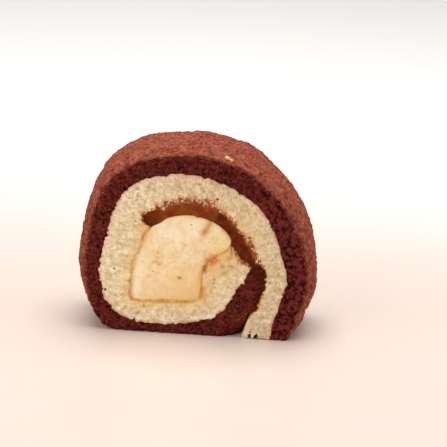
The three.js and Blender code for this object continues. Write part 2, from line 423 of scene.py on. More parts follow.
def round_edge(depth, to_edge, drop, width):
    """Depth drawn back by drop at the edge of a cut face, easing to nothing at this width from
    the edge."""
    inward = drop * (1 - smooth(to_edge / width))
    return np.sign(depth) * (np.abs(depth) - inward * (np.abs(depth) > HALF - 1e-6))


# %% Cocoa sponge: the strip
COCOA_ROWS, NOSE_ROWS, COCOA_FRONT, SKIN_COLUMNS, JOINT_COLUMNS = 655, 12, 26, 76, 6
TABLE_EASE = 9.0
t_sheet, bond, travel, normal, run, sizes = sample_path(SHEET, COCOA_ROWS)
# over its last stretch the layer is measured level, so that its end lies flat on the table
level = smooth((run - run[-1] + TABLE_EASE) / TABLE_EASE)[:, None]
normal = normal * (1 - level) + np.array((1.0, 0.0)) * level
normal /= np.linalg.norm(normal, axis=1)[:, None]
# under the roll the layer is no thicker than the room above the table
room = np.where(normal[:, 1] < -0.05, bond[:, 1] / np.maximum(-normal[:, 1], 0.05), np.inf)
thick, swell_share = np.minimum(sizes[:, 0], room), sizes[:, 1]

fine_depth = np.linspace(-HALF, HALF, 400)
even = even_steps(np.column_stack([fine_depth, swell_at(fine_depth)]), SKIN_COLUMNS + 1)[:-1]
share, depth = profile(COCOA_FRONT, np.interp(even, np.arange(400), fine_depth), JOINT_COLUMNS)
outermost = share > 0.999
crest = 2 * np.pi * run / SKIN_WAVE_LENGTH
ripple = SKIN_WAVE * np.sin(crest) * np.cos(crest * SKIN_WAVE_BEAT)
out = (swell_at(depth)[None, :] + ripple[:, None]) * swell_share[:, None] * outermost
stray = waver(run[:, None], depth[None, :])
reach = share * thick[:, None] + (1 - share) * stray + out
body = bond[:, None] + normal[:, None] * reach[..., None]

# the free end is a half round nose: thinner by a cosine, further ahead by a sine
turn = np.linspace(NOSE_TURN, 0, NOSE_ROWS, endpoint=False)[:, None]
nose_reach = thick[0] / 2 + (share - 0.5) * thick[0] * np.cos(turn)
nose_ahead = TONGUE_NOSE * np.sin(turn)[..., None]
nose = bond[0] + normal[0] * nose_reach[..., None] - travel[0] * nose_ahead
plane = np.concatenate([nose, body])
width = np.concatenate([thick[0] * np.cos(turn), thick[:, None]])
edge_place = in_space(plane, depth).reshape(-1, 3)
nibbled = lumps(edge_place, 2.2, 48) + 0.6 * lumps(edge_place, 1.0, 49)
nibbled = np.clip(nibbled, -1, 1).reshape(plane.shape[:2])
depths = round_edge(depth, (1 - share) * width, 0.5 + 0.35 * nibbled, 1.1 + 0.6 * nibbled)
depths = round_edge(depths, share * width, 0.2, 0.6)
cocoa_grid = in_space(plane, depths)
print("sheet length, mm:", round(run[-1], 1), "grid:", cocoa_grid.shape)

# %% [markdown]
# ### Relief of the crumb and of the skin
#
# Relief could be left to a bump in the material, but bump does nothing for the outline and nothing
# for a printed copy. So the pores that can be seen are pressed into the mesh, and only the finest
# grain is left to the material. The cut gets open pores and coarse puffs, the dry skin fine grain.
# The side that is joined to the plain sponge gets none, because it is hidden.
#
# A number called skin, 1 on the skin and 0 on the cut, is kept on the points, so that one material
# can finish both. So are the depth of the pores, which the material turns into painted shade, the
# height of the hills, which it turns into a painted highlight, the stain where sauce ran over the
# tongue, and where the crumb is more open, on the right.

# %% Cocoa sponge: relief
# station of the sheet from which its outside gets the skin colour, and the stations over which that
# eases; before it the tongue's underside in the gap keeps the dark cut colour, partly as moist crumb
# and partly as painted shade in the gap
SKIN_FROM, SKIN_EASE = 5.0, 1.5
flat = cocoa_grid.reshape(-1, 3)
from_face = HALF - np.abs(flat[:, 1]) + 0.45 * lumps(flat, 1.6, 51) + 0.3 * lumps(flat, 0.7, 52)
is_skin = np.tile(outermost, len(plane)) * smooth((from_face + 0.1) / 0.9)
# the tongue's underside in the gap keeps the dark cut colour: partly moist crumb, partly painted shade
skin_not_gap_shade = smooth((np.concatenate([np.zeros(NOSE_ROWS), t_sheet]) - SKIN_FROM) / SKIN_EASE)
is_skin *= np.repeat(skin_not_gap_shade, len(share))
torn = flat + 2 * crumble(flat)
hole = pores(torn, 1.6, 0.3, 0.95, 0.65, 11)
small_hole = pores(torn, 0.9, 0.2, 0.46, 0.6, 29)
crumb = 0.5 * puffs(torn, 1.7, 5) + 0.5 * puffs(torn, 0.85, 6) + 0.1 * lumps(flat, 3.0, 7)
cut_relief = crumb - 0.6 * hole - 0.3 * small_hole
skin_grain = 0.42 * puffs(torn, 1.2, 43) + 0.16 * lumps(flat, 0.8, 44)
skin_grain -= 0.28 * pores(torn, 1.5, 0.2, 0.6, 0.5, 47)
skin_relief = 0.2 * lumps(flat, 9.0, 41) + 0.16 * lumps(flat, 3.2, 42) + skin_grain
relief = cut_relief * (1 - is_skin) + skin_relief * is_skin
# height of the hills, which the material turns into a painted highlight
cocoa_hill_highlight = np.clip(0.5 + 1.3 * cut_relief * (1 - is_skin) + 2.0 * skin_grain * is_skin, 0, 1)
cocoa_grid = raised(cocoa_grid, relief, (share < 0.001) & (np.abs(depth) < HALF - 0.01))
sideways = (1 - 0.6 * is_skin)[:, None] * crumble(flat)
cocoa_grid += sideways.reshape(cocoa_grid.shape)
cocoa_grid[..., 2] = np.maximum(cocoa_grid[..., 2], 0)
# depth of the pores, which the material turns into painted shade
cocoa_pit_shade = np.maximum(hole, 0.7 * small_hole) * (1 - is_skin)
# where the sauce ran over the end of the tongue and down its right side
WET_LINE = (
    (15.5, 23.6), (18.6, 23.0), (20.4, 19.0), (20.1, 14.0), (18.3, 10.5), (16.8, 7.4), (14.6, 6.2),
)
wet_cocoa = bell(away_from(flat, line_through(WET_LINE, 96)), 1.8 + 0.6 * lumps(flat, 2.0, 53))
cocoa = closed_tube("cocoa_layer", cocoa_grid, {
    "skin": is_skin, "pit_shade": cocoa_pit_shade, "tone_and_hill_highlight": cocoa_hill_highlight, "stain": wet_cocoa,
    "open": smooth((flat[:, 0] - 12) / 8),
})

# %% [markdown]
# ## The plain sponge
#
# The inner layer fills the room between the line where the sponges meet and whatever it is pressed
# against: the tongue, the bar, the sauce, and at the end the table. So it is ruled: each row runs
# from a point of the first line to its partner on the second. Partners are named at a few
# stations, as a dressmaker matches notches, and the rest are shared out evenly in between.

# %% Plain sponge: the line on its inner side
# the upper edge of the sauce: depth, length and beat of the fingers that it sends into the sponge,
# and the thickness of sauce from which they start and over which they grow
SAUCE_WAVE, SAUCE_FINGER, SAUCE_FINGER_BEAT = 0.35, 3.3, 0.61
FILM_THICK, FINGER_FADE, SAUCE_ROWS = 1.5, 2.0, 420
# where neighbours meet: sauce and lobe, sauce and tongue, shoulder of the bar, tip of the sauce
AT_LOBE, AT_TONGUE, AT_SHOULDER, AT_TIP = (9.9, 30.6), (17.0, 23.4), (-15.1, 33.1), (-14.8, 34.6)


def nearest_on(line, target):
    """The list position of the point of a line that lies nearest to a target."""
    return int(np.argmin(np.linalg.norm(line - np.array(target), axis=1)))


bar_line = closed_curve(BAR, 600)
_, s_point, s_travel, s_normal, s_run, s_sizes = sample_path(SAUCE, SAUCE_ROWS)
s_half = s_sizes[:, :1] / 2
finger = 2 * np.pi * s_run / SAUCE_FINGER
soaked = SAUCE_WAVE * np.sin(finger) * np.cos(finger * SAUCE_FINGER_BEAT)
soaked += 0.3 * lumps_along(s_run, 1.4, 3) + 0.2 * lumps_along(s_run, 0.6, 4)
soaked = soaked[:, None] * np.clip((2 * s_half - FILM_THICK) / FINGER_FADE, 0, 1)
sauce_above = s_point + s_normal * (s_half + soaked)
sauce_below = s_point - s_normal * s_half
tip_turn = np.linspace(-np.pi / 2, np.pi / 2, 24)[:, None]
tip_half = SAUCE[0, 2] / 2
sauce_tip = s_point[0] + tip_half * (np.sin(tip_turn) * s_normal[0] - np.cos(tip_turn) * s_travel[0])

wedge_end, wedge_start = nearest_on(sauce_below, AT_LOBE), nearest_on(sauce_below, AT_TONGUE)
inner = np.concatenate([
    sauce_below[wedge_start:wedge_end:-1],
    bar_line[nearest_on(bar_line, AT_LOBE)::-1],
    bar_line[:nearest_on(bar_line, AT_SHOULDER):-1],
    sauce_below[nearest_on(sauce_below, AT_TIP)::-1],
    sauce_tip,
    sauce_above,
    [SEAM_TOP],
    [FOOT_INNER],
])
inner = pick(inner, even_steps(inner, 2000))

# station of the sheet, and the place across from it
PARTNERS = [
    (0.0, (17.0, 23.4)), (0.5, (13.2, 26.9)), (1.0, (9.9, 30.2)), (1.5, (5.2, 26.1)), (2.0, (1.9, 22.2)),
    (3.0, (1.3, 16.5)), (4.0, (0.7, 13.2)), (5.0, (-1.6, 11.8)), (6.0, (-12.5, 11.0)), (7.0, (-19.3, 11.2)),
    (8.0, (-20.0, 16.0)), (9.0, (-17.4, 29.0)), (9.7, (-16.0, 32.8)), (10.3, (-17.7, 37.2)),
    (11.0, (-13.0, 40.4)), (12.0, (-4.0, 43.3)), (13.0, (6.2, 41.0)), (14.0, (12.4, 35.2)),
    (15.0, (18.0, 28.0)), (16.0, (22.4, 18.4)), (17.0, (18.0, 9.0)), (18.0, (14.7, 0.0)),
]
partner_at = np.array([t for t, _ in PARTNERS])
partner_on = np.array([nearest_on(inner, place) for _, place in PARTNERS])
print("partners go one way round:", bool((np.diff(partner_on) > 0).all()))

# %% [markdown]
# ### The strip and its crumb
#
# The plain sponge is softer, so its pores are smaller and fewer and its hills lower. It was torn
# in strands that lie across the layer, with short creases between them. Its pores and creases are
# painted darker as painted shade, and its hills lighter as a painted highlight. Over the top of the
# roll it was stretched, and there the strands lie along it. Where it meets the cocoa sponge it stands
# over it by a hair, so that the two colours meet without a dark gap. At the table the end of the
# sheet is a little ragged, so a few nicks are lifted out of its front corner, and painted shade
# darkens them.

# %% Plain sponge: the strip
PLAIN_ROWS, PLAIN_FRONT, PLAIN_INNER = 640, 40, 14
# distances along the sheet, from, to and fade: where it is stretched, and where it is squeezed and darkened
# with painted shade
STRETCHED, SQUEEZED_AND_SHADED = (100, 120, 8), ((115, 175, 25), (-1, 6, 7))
t_sheet, bond, _, normal, run, _ = sample_path(SHEET, PLAIN_ROWS)
across_to = pick(inner, np.interp(t_sheet, partner_at, partner_on))
share, depth = profile(PLAIN_FRONT, wall_depths(PLAIN_INNER), JOINT_COLUMNS)
lap = 0.14 + 0.14 * lumps_along(run, 1.3, 71)
shifted = (waver(run[:, None], depth[None, :]) + lap[:, None]) * (1 - share)
plane = bond[:, None] + (across_to - bond)[:, None] * share[:, None] + normal[:, None] * shifted[..., None]
width = np.linalg.norm(across_to - bond, axis=1)[:, None]
depths = round_edge(depth, (1 - share) * width, 0.35, 1.1)
plain_grid = in_space(plane, depths)

# %% Plain sponge: relief
flat = plain_grid.reshape(-1, 3)
sheet_place = np.stack(np.broadcast_arrays(run[:, None], share * width, depths), -1).reshape(-1, 3)
torn = flat + 1.6 * crumble(flat)
pulled_out = sheet_place + 1.4 * crumble(sheet_place)
hole = pores(torn, 1.7, 0.3, 0.8, 0.4, 81)
crease = smooth((lumps(sheet_place, np.array((1.1, 3.0, 1.4)), 91) - 0.1) / 0.6)
strand = puffs(pulled_out, np.array((1.5, 4.2, 1.8)), 86)
stretched = band(sheet_place[:, 0], *STRETCHED)
strand += stretched * (puffs(pulled_out, np.array((4.4, 1.2, 1.6)), 87) - strand)
relief = 0.22 * puffs(torn, 1.8, 83) + 0.3 * puffs(torn, 0.85, 84) + 0.38 * strand
relief += 0.06 * lumps(flat, 3.5, 85) - 0.34 * hole - 0.12 * crease
# height of the hills, which the material turns into a painted highlight
plain_hill_highlight = np.clip(0.58 + 1.6 * relief, 0, 1)
plain_grid = raised(plain_grid, relief, np.abs(depth) < HALF - 0.01)
plain_grid += crumble(flat).reshape(plain_grid.shape)

# x of the middle, half width and height of each place where the end of the sheet is off the table
FOOT_NICKS = ((17.3, 0.6, 2.1), (19.2, 0.75, 1.1), (21.0, 3.0, 0.35))
lift = sum(h * smooth(1.6 * (1 - np.abs(flat[:, 0] - x) / w)) for x, w, h in FOOT_NICKS)
lift *= (1 + 0.5 * lumps(flat, 1.7, 95)) * (1 - smooth((flat[:, 1] + HALF - 1.5) / 1.5))
lift *= plane[..., 1].ravel() < 5
# inside the nicks, which the material paints nearly black as painted shade
nick_shade = smooth((lift - 0.45) / 0.3) * (flat[:, 2] < lift + 0.35)
plain_grid[..., 2] = np.maximum(plain_grid[..., 2], np.maximum(lift, 0).reshape(plane.shape[:2]))
# pores and creases, which the material turns into painted shade
plain_pit_shade = np.maximum(hole, 0.25 * crease)
print("grid:", plain_grid.shape, "narrowest and widest row, mm:", width.min().round(2), width.max().round(1))

# %% [markdown]
# ### Where the custard and the caramel soaked in
#
# Sponge drinks up what lies against it. How much it drank differs round the bar, so a short table
# gives, for a few directions from the middle of the bar, how wet the rim is, how much caramel is
# mixed in and how far from the rim the wettest line lies. The same table serves the sponge and the
# custard, so their marks meet.
#
# Small marks have tables too. Orange, rust and ochre ones lie where custard and sponge meet. Olive
# spots are painted shade of pits in the plain sponge, and pale lips are painted highlights on torn
# crumb beside the cocoa sponge.

# %% Soaking
# direction in degrees, wetness, share of caramel, distance of the wettest line from the rim
RIM = np.array([
    (-180, 0.6, 0.0, 0.0), (-150, 0.65, 0.1, 0.0), (-140, 0.85, 0.1, 0.2), (-125, 0.95, 0.1, 0.5),
    (-100, 1.0, 0.05, 0.65), (-70, 1.0, 0.1, 0.65), (-60, 1.0, 0.1, 0.65), (-50, 1.0, 0.15, 0.5),
    (-40, 0.55, 0.9, -0.3), (-28, 0.5, 0.8, -0.1), (-14, 1.0, 0.7, 0.1), (0, 1.0, 0.5, 0.2),
    (12, 1.0, 0.3, 0.4), (20, 0.85, 0.4, 0.4), (28, 0.7, 0.6, -0.3), (40, 0.45, 0.8, -0.2),
    (60, 0.3, 0.8, 0.0), (125, 0.3, 0.8, 0.0), (133, 1.0, 0.4, 0.3), (150, 0.95, 0.15, 0.3),
    (165, 0.8, 0.1, 0.1), (180, 0.6, 0.0, 0.0),
])


def from_middle(x, z):
    """Direction in degrees and distance of places from the middle of the bar."""
    x, z = x - BAR_MIDDLE[0], z - BAR_MIDDLE[1]
    return np.degrees(np.arctan2(z, x)), np.hypot(x, z)


def soaking(p):
    """Wetness and share of caramel of each point by its direction from the middle of the bar, both
    made uneven by lumps, how far outside the bar's rim it lies, less than 0 inside, and how far
    outside the wettest line, made ragged by lumps of two sizes."""
    angle, radius = from_middle(p[:, 0], p[:, 2])
    rim_at = np.interp(angle, *from_middle(*bar_line.T), period=360)
    wet, warm, line_at = (np.interp(angle, RIM[:, 0], RIM[:, k]) for k in (1, 2, 3))
    wet = np.clip(wet * (1 + 0.35 * lumps(p, 2.4, 101)), 0, 1)
    warm = np.clip(warm * (1 + 0.3 * lumps(p, 1.6, 102)), 0, 1)
    outside = away_from(p, bar_line) * np.where(radius > rim_at, 1, -1)
    ragged = outside - line_at + 0.3 * lumps(p, 1.5, 104) + 0.2 * lumps(p, 0.7, 105)
    return wet, warm, outside, ragged


# marks on the cut: points of a short line, radius, strength
ORANGE = ((((5.0, 25.2), (4.1, 24.2)), 1.75, 1.0), (((3.4, 23.2), (3.0, 22.4)), 0.9, 0.7))
RUST = ((((2.8, 22.3), (2.5, 21.3)), 0.95, 1.0),)
# olive spots: painted shade in pits of the plain sponge
OLIVE_PIT_SHADE = (
    (((7.7, 22.9), (8.2, 23.0)), 0.45, 1.0), (((9.8, 23.4), (10.9, 23.1)), 0.4, 0.8),
    (((9.6, 25.5), (10.1, 25.7)), 0.65, 0.9), (((5.4, 18.9), (5.5, 18.4)), 0.42, 1.0),
    (((8.0, 20.8), (9.0, 21.0)), 0.5, 0.5),
)
OCHRE = (
    (((1.7, 15.2), (1.9, 13.2)), 0.75, 1.0), (((3.0, 14.5), (3.2, 11.2)), 1.0, 0.35),
    (((-15.1, 33.5), (-15.9, 31.9), (-16.7, 29.6)), 0.5, 0.9), (((-19.8, 16.8), (-20.2, 15.4)), 0.8, 0.6),
    (((-20.2, 13.0), (-19.4, 11.0)), 0.7, 0.5), (((0.9, 19.4), (0.9, 16.2)), 0.6, 0.35),
)
# pale lips: painted highlights where the torn edge beside the cocoa sponge catches the light
LIP_HIGHLIGHTS = (
    (((13.8, 19.4), (14.0, 18.0)), 0.42, 1.0), (((10.9, 13.3), (10.3, 12.4)), 0.4, 0.9),
    (((6.1, 7.0), (4.6, 6.3), (3.0, 5.7)), 0.4, 1.0),
)


def marks(p, table):
    """Soft marks along short lines: for each one its strength times a bell curve of the distance
    from its line, with uneven edges. Where marks meet, the strongest shows."""
    moved = p + 0.6 * crumble(p)
    total = np.zeros(len(p))
    for line, radius, strength in table:
        total = np.maximum(total, strength * bell(away_from(moved, line_through(line, 30)), radius))
    return total


def shared_marks(p):
    """The marks that lie partly on the custard and partly on the plain sponge, by name. Lumps make
    the orange one uneven."""
    orange = np.clip(marks(p, ORANGE) * (1 + 0.4 * lumps(p, 1.5, 121)), 0, 1)
    return {"orange": orange, "rust": marks(p, RUST), "ochre": marks(p, OCHRE)}


# %% [markdown]
# ### Marks of the plain sponge
#
# Each mark is a number from 0 to 1 on the points of the mesh, and the material turns it into a
# colour. Painting an image would do the same, but a number that is worked out from distances is as
# fine as the mesh and needs no file. The stain is widest under the sauce beside the lobe, narrower
# over it, narrowest beside its thin end, and ragged everywhere, because sauce runs along the
# strands. The sheet is a little darker on the right of the roll and at the inner end, partly because
# it is squeezed there and partly as painted shade. Its crumb is more open at the top and on the right.

# %% Plain sponge: marks
# rows of the sauce up to which it is thick, and from which it is thin
THICK_TO, THIN_FROM = 300, 290
SEAM_STAIN = ((18.6, 11.0), (17.6, 9.4), (16.9, 7.8), (16.5, 6.4), (15.9, 4.8), (15.4, 3.2))

wet, warm, outside, ragged = soaking(flat)
soak = wet * band(ragged, -0.3, 0.25 + 0.4 * warm + 0.35 * lumps(flat, 3.4, 110), 0.5)
halo = wet * bell(np.maximum(outside, 0), 2.4 + 6 * warm) * (1 + 0.4 * lumps(flat, 2.2, 107))
# how far the sauce ran here, as a share of the usual: uneven, and further along the strands
patchy = 1 + 0.5 * lumps(flat, 2.6, 106) + 0.25 * lumps(flat, 1.1, 103)
patchy += 0.8 * lumps(pulled_out, np.array((0.7, 2.8, 1.2)), 108)
patchy = np.maximum(patchy, 0.15)
above_away = np.minimum(away_from(flat, sauce_above[:THICK_TO]), away_from(flat, sauce_tip))
drunk = 1.05 + 0.35 * smooth((flat[:, 0] - 5) / 6)
stain = bell(above_away, drunk * patchy)
stain += 0.95 * bell(away_from(flat, sauce_below[wedge_end:wedge_start]), 1.6 * patchy)
stain += 0.7 * bell(away_from(flat, np.array(SEAM_STAIN)), 0.8 * patchy)
stain += 0.9 * bell(away_from(flat, sauce_above[THIN_FROM:]), 0.85)
stain = np.clip(stain, 0, 1)
near_cocoa = bell(share * width + 0 * depths, 0.7).ravel()
near_cocoa *= np.clip(0.7 + 0.8 * lumps(flat, 1.8, 109), 0, 1.2)
# darker on the right of the roll and at the inner end: partly squeezed crumb, partly painted shade
squeeze_and_shade = np.repeat(np.maximum(*(band(run, *stretch) for stretch in SQUEEZED_AND_SHADED)), len(share))
open_crumb = np.clip(smooth((flat[:, 2] - 36) / 5) + smooth((flat[:, 0] - 17) / 4), 0, 1)
plain = closed_tube("plain_layer", plain_grid, {
    "pit_shade": plain_pit_shade * (1 + 0.6 * open_crumb), "tone_and_hill_highlight": plain_hill_highlight, "nick_shade": nick_shade,
    "halo": halo, "soak": soak, "warm": warm, "stain": stain, "near_cocoa": near_cocoa,
    "squeeze_and_shade": squeeze_and_shade, "open": open_crumb, "olive_pit_shade": marks(flat, OLIVE_PIT_SHADE), "lip_highlight": marks(flat, LIP_HIGHLIGHTS),
    **shared_marks(flat),
})

# %% [markdown]
# ## The custard
#
# The bar is a smooth, moist solid, cut clean by the knife. Seen from its middle every part of its
# rim is in plain view, so rings round that middle make a good grid: each ring is the rim drawn
# smaller. The rings go out over the front face, along the wall and back in over the other face.
# The rim is rounded by a quarter of a small circle and reaches a hair under its neighbours.

# %% Custard: rings
CUSTARD_RINGS, CUSTARD_LAP, CUSTARD_EDGE = 64, 0.25, 0.25
rim = closed_curve(BAR, 400)
rim_out = np.column_stack([np.gradient(rim[:, 1]), -np.gradient(rim[:, 0])])
rim_out /= np.linalg.norm(rim_out, axis=1)[:, None]
under_sauce = 1 - smooth((away_from(in_space(rim, 0), sauce_below[:wedge_end]) - 0.9) / 1.2)
rim = rim + rim_out * (CUSTARD_LAP * (1 - under_sauce) + 0.1)[:, None]
ring_share = 1 - np.sin(np.linspace(0.012, np.pi / 2, CUSTARD_RINGS))
face_y = HALF - CUSTARD_SINK
to_rim = ring_share[:, None] * np.linalg.norm(rim - BAR_MIDDLE, axis=1)
front = rim + (BAR_MIDDLE - rim) * ring_share[:, None, None]
bevel = CUSTARD_EDGE * (1 - np.sqrt(1 - (1 - np.clip(to_rim / CUSTARD_EDGE, 0, 1)) ** 2))
front = in_space(front, bevel - face_y)
custard_grid = np.concatenate([front, front[::-1] * (1, -1, 1)])
flat = custard_grid.reshape(-1, 3)
on_face = smooth((np.abs(flat[:, 1]) - face_y + 0.6) / 0.4)

# %% [markdown]
# ### What the knife left on the custard
#
# Dragged caramel makes brown streaks, smeared custard leaves small ridges that are painted lighter
# as a painted highlight, and the specks are seeds of vanilla. Each is a short line with a radius and
# a strength. Streaks are pressed in a little and the ridges stand out a little. The bar is palest
# at its top and along its left rim, and deepest low on the right.

# %% Custard: marks
STREAKS = (
    (((3.6, 37.0), (3.1, 35.8), (2.7, 34.8)), 0.85, 0.9),
    (((2.2, 33.8), (1.7, 33.0)), 1.05, 0.95),
    (((1.6, 32.0), (0.9, 30.4)), 0.9, 0.25),
    (((-11.7, 22.4), (-10.8, 22.9)), 0.7, 0.5),
    (((-13.3, 22.6), (-12.6, 22.9), (-12.2, 24.1)), 0.5, 0.35),
    (((-0.6, 27.8), (0.0, 27.0)), 0.9, 0.25),
    (((2.6, 24.6), (2.3, 26.4), (2.6, 28.0)), 0.7, 0.25),
)
SPECKS = (
    (((-5.4, 18.4), (-5.0, 18.3)), 0.45, 0.8), (((-2.3, 35.7), (-2.3, 35.6)), 0.24, 0.8),
    (((-12.1, 26.2), (-12.0, 25.9)), 0.32, 0.4), (((-13.5, 19.9), (-13.4, 19.8)), 0.28, 0.5),
    (((-3.9, 23.2), (-3.8, 23.1)), 0.28, 0.35), (((-15.0, 18.0), (-14.9, 18.0)), 0.28, 0.25),
    (((-4.0, 29.1), (-3.9, 29.0)), 0.24, 0.3), (((3.4, 30.5), (3.5, 30.5)), 0.24, 0.3),
    (((-7.4, 26.0), (-7.3, 26.0)), 0.22, 0.3), (((-9.0, 15.2), (-8.9, 15.2)), 0.22, 0.25),
)
PALE = ((((-8.0, 34.0), (-3.0, 33.0)), 5.5, 1.0), (((-17.0, 25.0), (-18.0, 19.0), (-18.3, 14.0)), 1.3, 0.8))
# light lines: small ridges, painted lighter as a painted highlight
LIGHT_LINES = (
    (((-0.2, 28.3), (1.6, 28.9)), 0.35, 0.25), (((3.0, 28.6), (5.2, 29.1)), 0.3, 0.3),
    (((-2.1, 19.8), (-1.9, 18.0), (-2.0, 16.0)), 0.4, 0.55), (((-1.1, 18.9), (-1.0, 17.2)), 0.3, 0.35),
)
streak = marks(flat, STREAKS) * (1 + 0.4 * lumps(flat, 1.5, 121))
light_line = marks(flat, LIGHT_LINES) * (0.6 + 0.8 * lumps(flat, 1.2, 122))
at_rim = shared_marks(flat)
wet, warm, outside, ragged = soaking(flat)
soak = wet * smooth((ragged + 0.55 + 0.3 * lumps(flat, 3.4, 110)) / 0.6)
deep = np.clip((flat[:, 0] + 16) / 16 * (30 - flat[:, 2]) / 14, 0, 1) * on_face
relief = 0.12 * lumps(flat, 5.0, 111) + 0.08 * lumps(flat, 1.9, 112) + 0.2 * light_line
relief -= 0.15 * streak + 0.2 * at_rim["orange"]
custard_grid[..., 1] += (relief * on_face * np.sign(flat[:, 1])).reshape(custard_grid.shape[:2])
custard = closed_tube("custard_filling", custard_grid, {
    "edge": wet * bell(outside, 1.0), "soak": soak, "warm": warm, "deep": deep,
    "pale": marks(flat, PALE), "streak": streak, "ridge_highlight": light_line, "speck": marks(flat, SPECKS),
    **at_rim,
})

# %% [markdown]
# ## The caramel
#
# The sauce is a strip like the sheet, with a thickness that swells and thins. It is sunk a little
# below the cut, because it flowed after the knife passed, and it reaches under the edges of its
# neighbours so that nothing can be seen between them. It creeps up the rim of the custard, as any
# liquid does in a corner, and along its upper side it is thin and full of crumb.

# %% Caramel: the strip
CARAMEL_FRONT, CARAMEL_WALL, CARAMEL_LAP, TIP_ROWS = 22, 8, 0.55, 10
share, depth = profile(CARAMEL_FRONT, wall_depths(CARAMEL_WALL), CARAMEL_WALL)
# the first rows make the rounded tip: copies of the first one, thinner by a cosine and moved
# ahead by a sine
turn = np.linspace(NOSE_TURN, 0, TIP_ROWS, endpoint=False)
ahead = np.concatenate([-(tip_half + CARAMEL_LAP) * np.sin(turn), np.zeros(SAUCE_ROWS)])
squeeze = np.concatenate([np.cos(turn), np.ones(SAUCE_ROWS)])[:, None]
row = np.concatenate([np.zeros(TIP_ROWS, dtype=int), np.arange(SAUCE_ROWS)])
# its two sides, across from the line that it follows
low =-(s_half + CARAMEL_LAP)[row] * squeeze
high = (s_half + CARAMEL_LAP + 0.5 * np.clip(s_half - 1, 0, 1))[row] * squeeze
off = low + (high - low) * share
plane = s_point[row][:, None] + s_normal[row][:, None] * off[..., None]
plane = plane + (s_travel[row] * ahead[:, None])[:, None]
shrink = (HALF - CARAMEL_SINK) / HALF
caramel_grid = in_space(plane, depth * shrink)

# %% Caramel: relief
flat = caramel_grid.reshape(-1, 3)
on_face = (np.abs(flat[:, 1]) > HALF * shrink - 0.01) * 1.0
half_here = np.repeat(s_half[row], plane.shape[1])
bulk = np.clip(half_here - 1, 0, 1)
tail = 1 - smooth((half_here - 0.6) / 0.8)
# near the upper side, where the sponge soaks it up, furthest over the middle of the bar
from_top = (high - off).ravel() + 0.9 * lumps(flat, 2.6, 135) + 0.5 * lumps(flat, 1.0, 136)
middle = smooth((flat[:, 0] + 14) / 4) * (1 - smooth((flat[:, 0] - 3) / 5))
soaked_to = 0.5 + 0.3 * smooth(flat[:, 0] / 8) + 1.3 * smooth((flat[:, 0] - 12) / 3) + 2.6 * middle
thin = (1 - smooth((from_top - 0.5 * soaked_to) / soaked_to)) * bulk
# near the lower side, where it climbs the rim of the custard
climb = (1 - smooth((off - low).ravel() - 0.5)) * bulk * (1 - smooth((flat[:, 0] - 8) / 2))
relief = 0.16 * lumps(flat, 2.4, 131) + 0.1 * lumps(flat, 1.0, 132)
relief += 0.35 * pores(flat, 2.2, 0.3, 0.9, 0.35, 133) * (1 - climb) + 0.25 * climb + 0.15 * tail
relief += thin * (0.3 + 0.5 * puffs(flat, 1.6, 137) + 0.4 * puffs(flat, 0.8, 138))
caramel_grid[..., 1] += (relief * on_face * np.sign(flat[:, 1])).reshape(plane.shape[:2])
caramel = closed_tube("caramel_layer", caramel_grid, {
    "thin": thin, "tail": tail, "middle": middle,
    "deep": smooth((flat[:, 0] - 3) / 4) * (1 - 0.6 * smooth((flat[:, 0] - 13) / 4)),
})

# %% [markdown]
# ## Loose crumbs
#
# A knife pulls crumbs loose and drags them over the cut. Each crumb is a small lumpy ball, half
# sunk into the surface it lies on. They could be instances, but one joined mesh for each kind is
# simpler to carry about. Their sizes, their turns and the scattered places all come from one
# seeded generator, so every run gives the same crumbs.

# %% Crumbs: shape
CRUMB_RINGS, CRUMB_SIDES, SEED = 5, 7, 20
draw = np.random.default_rng(SEED)


def crumb_mesh(name, places, radii, values):
    """Lumpy balls joined in one mesh. Each is a sphere of rings and sides, stretched up to 1.5
    times and turned at random, with every point moved in or out to 0.72 to 1.2 of its radius."""
    polar = np.linspace(0, np.pi, CRUMB_RINGS + 2)[1:-1]
    around = np.linspace(0, 2 * np.pi, CRUMB_SIDES, endpoint=False)
    p, a = (grid.ravel() for grid in np.meshgrid(polar, around, indexing="ij"))
    ball = np.column_stack([np.sin(p) * np.cos(a), np.sin(p) * np.sin(a), np.cos(p)])
    ball = np.vstack([ball, (0, 0, 1), (0, 0, -1)])
    count, corners = len(places), len(ball)
    size = radii[:, None] * draw.uniform((0.8, 0.8, 0.7), (1.5, 1.1, 1.0), (count, 3))
    bumpy = draw.uniform(0.72, 1.2, (count, corners, 1))
    turn = np.linalg.qr(draw.normal(size=(count, 3, 3)))[0]
    turn[:, :, 0] *= np.linalg.det(turn)[:, None]
    points = places[:, None] + np.einsum("nij,nkj->nki", turn, ball * bumpy * size[:, None])

    r, c = (g.ravel() for g in np.meshgrid(np.arange(CRUMB_RINGS - 1), np.arange(CRUMB_SIDES), indexing="ij"))
    n = (c + 1) % CRUMB_SIDES
    quads = np.column_stack([r, r + 1, r + 1, r]) * CRUMB_SIDES + np.column_stack([c, c, n, n])
    c = np.arange(CRUMB_SIDES)
    n, low = (c + 1) % CRUMB_SIDES, (CRUMB_RINGS - 1) * CRUMB_SIDES
    caps = np.vstack([
        np.column_stack([c, n, np.full(CRUMB_SIDES, corners - 2)]),
        np.column_stack([low + n, low + c, np.full(CRUMB_SIDES, corners - 1)]),
    ])
    one = np.concatenate([quads.ravel(), caps.ravel()])
    one_starts = np.concatenate([np.arange(0, quads.size, 4), quads.size + np.arange(0, caps.size, 3)])
    each = np.arange(count)[:, None]
    loops, starts = (one + each * corners).ravel(), (one_starts + each * len(one)).ravel()
    spread = {key: np.repeat(numbers, corners) for key, numbers in values.items()}
    return mesh_object(name, points.reshape(-1, 3), loops, starts, spread)


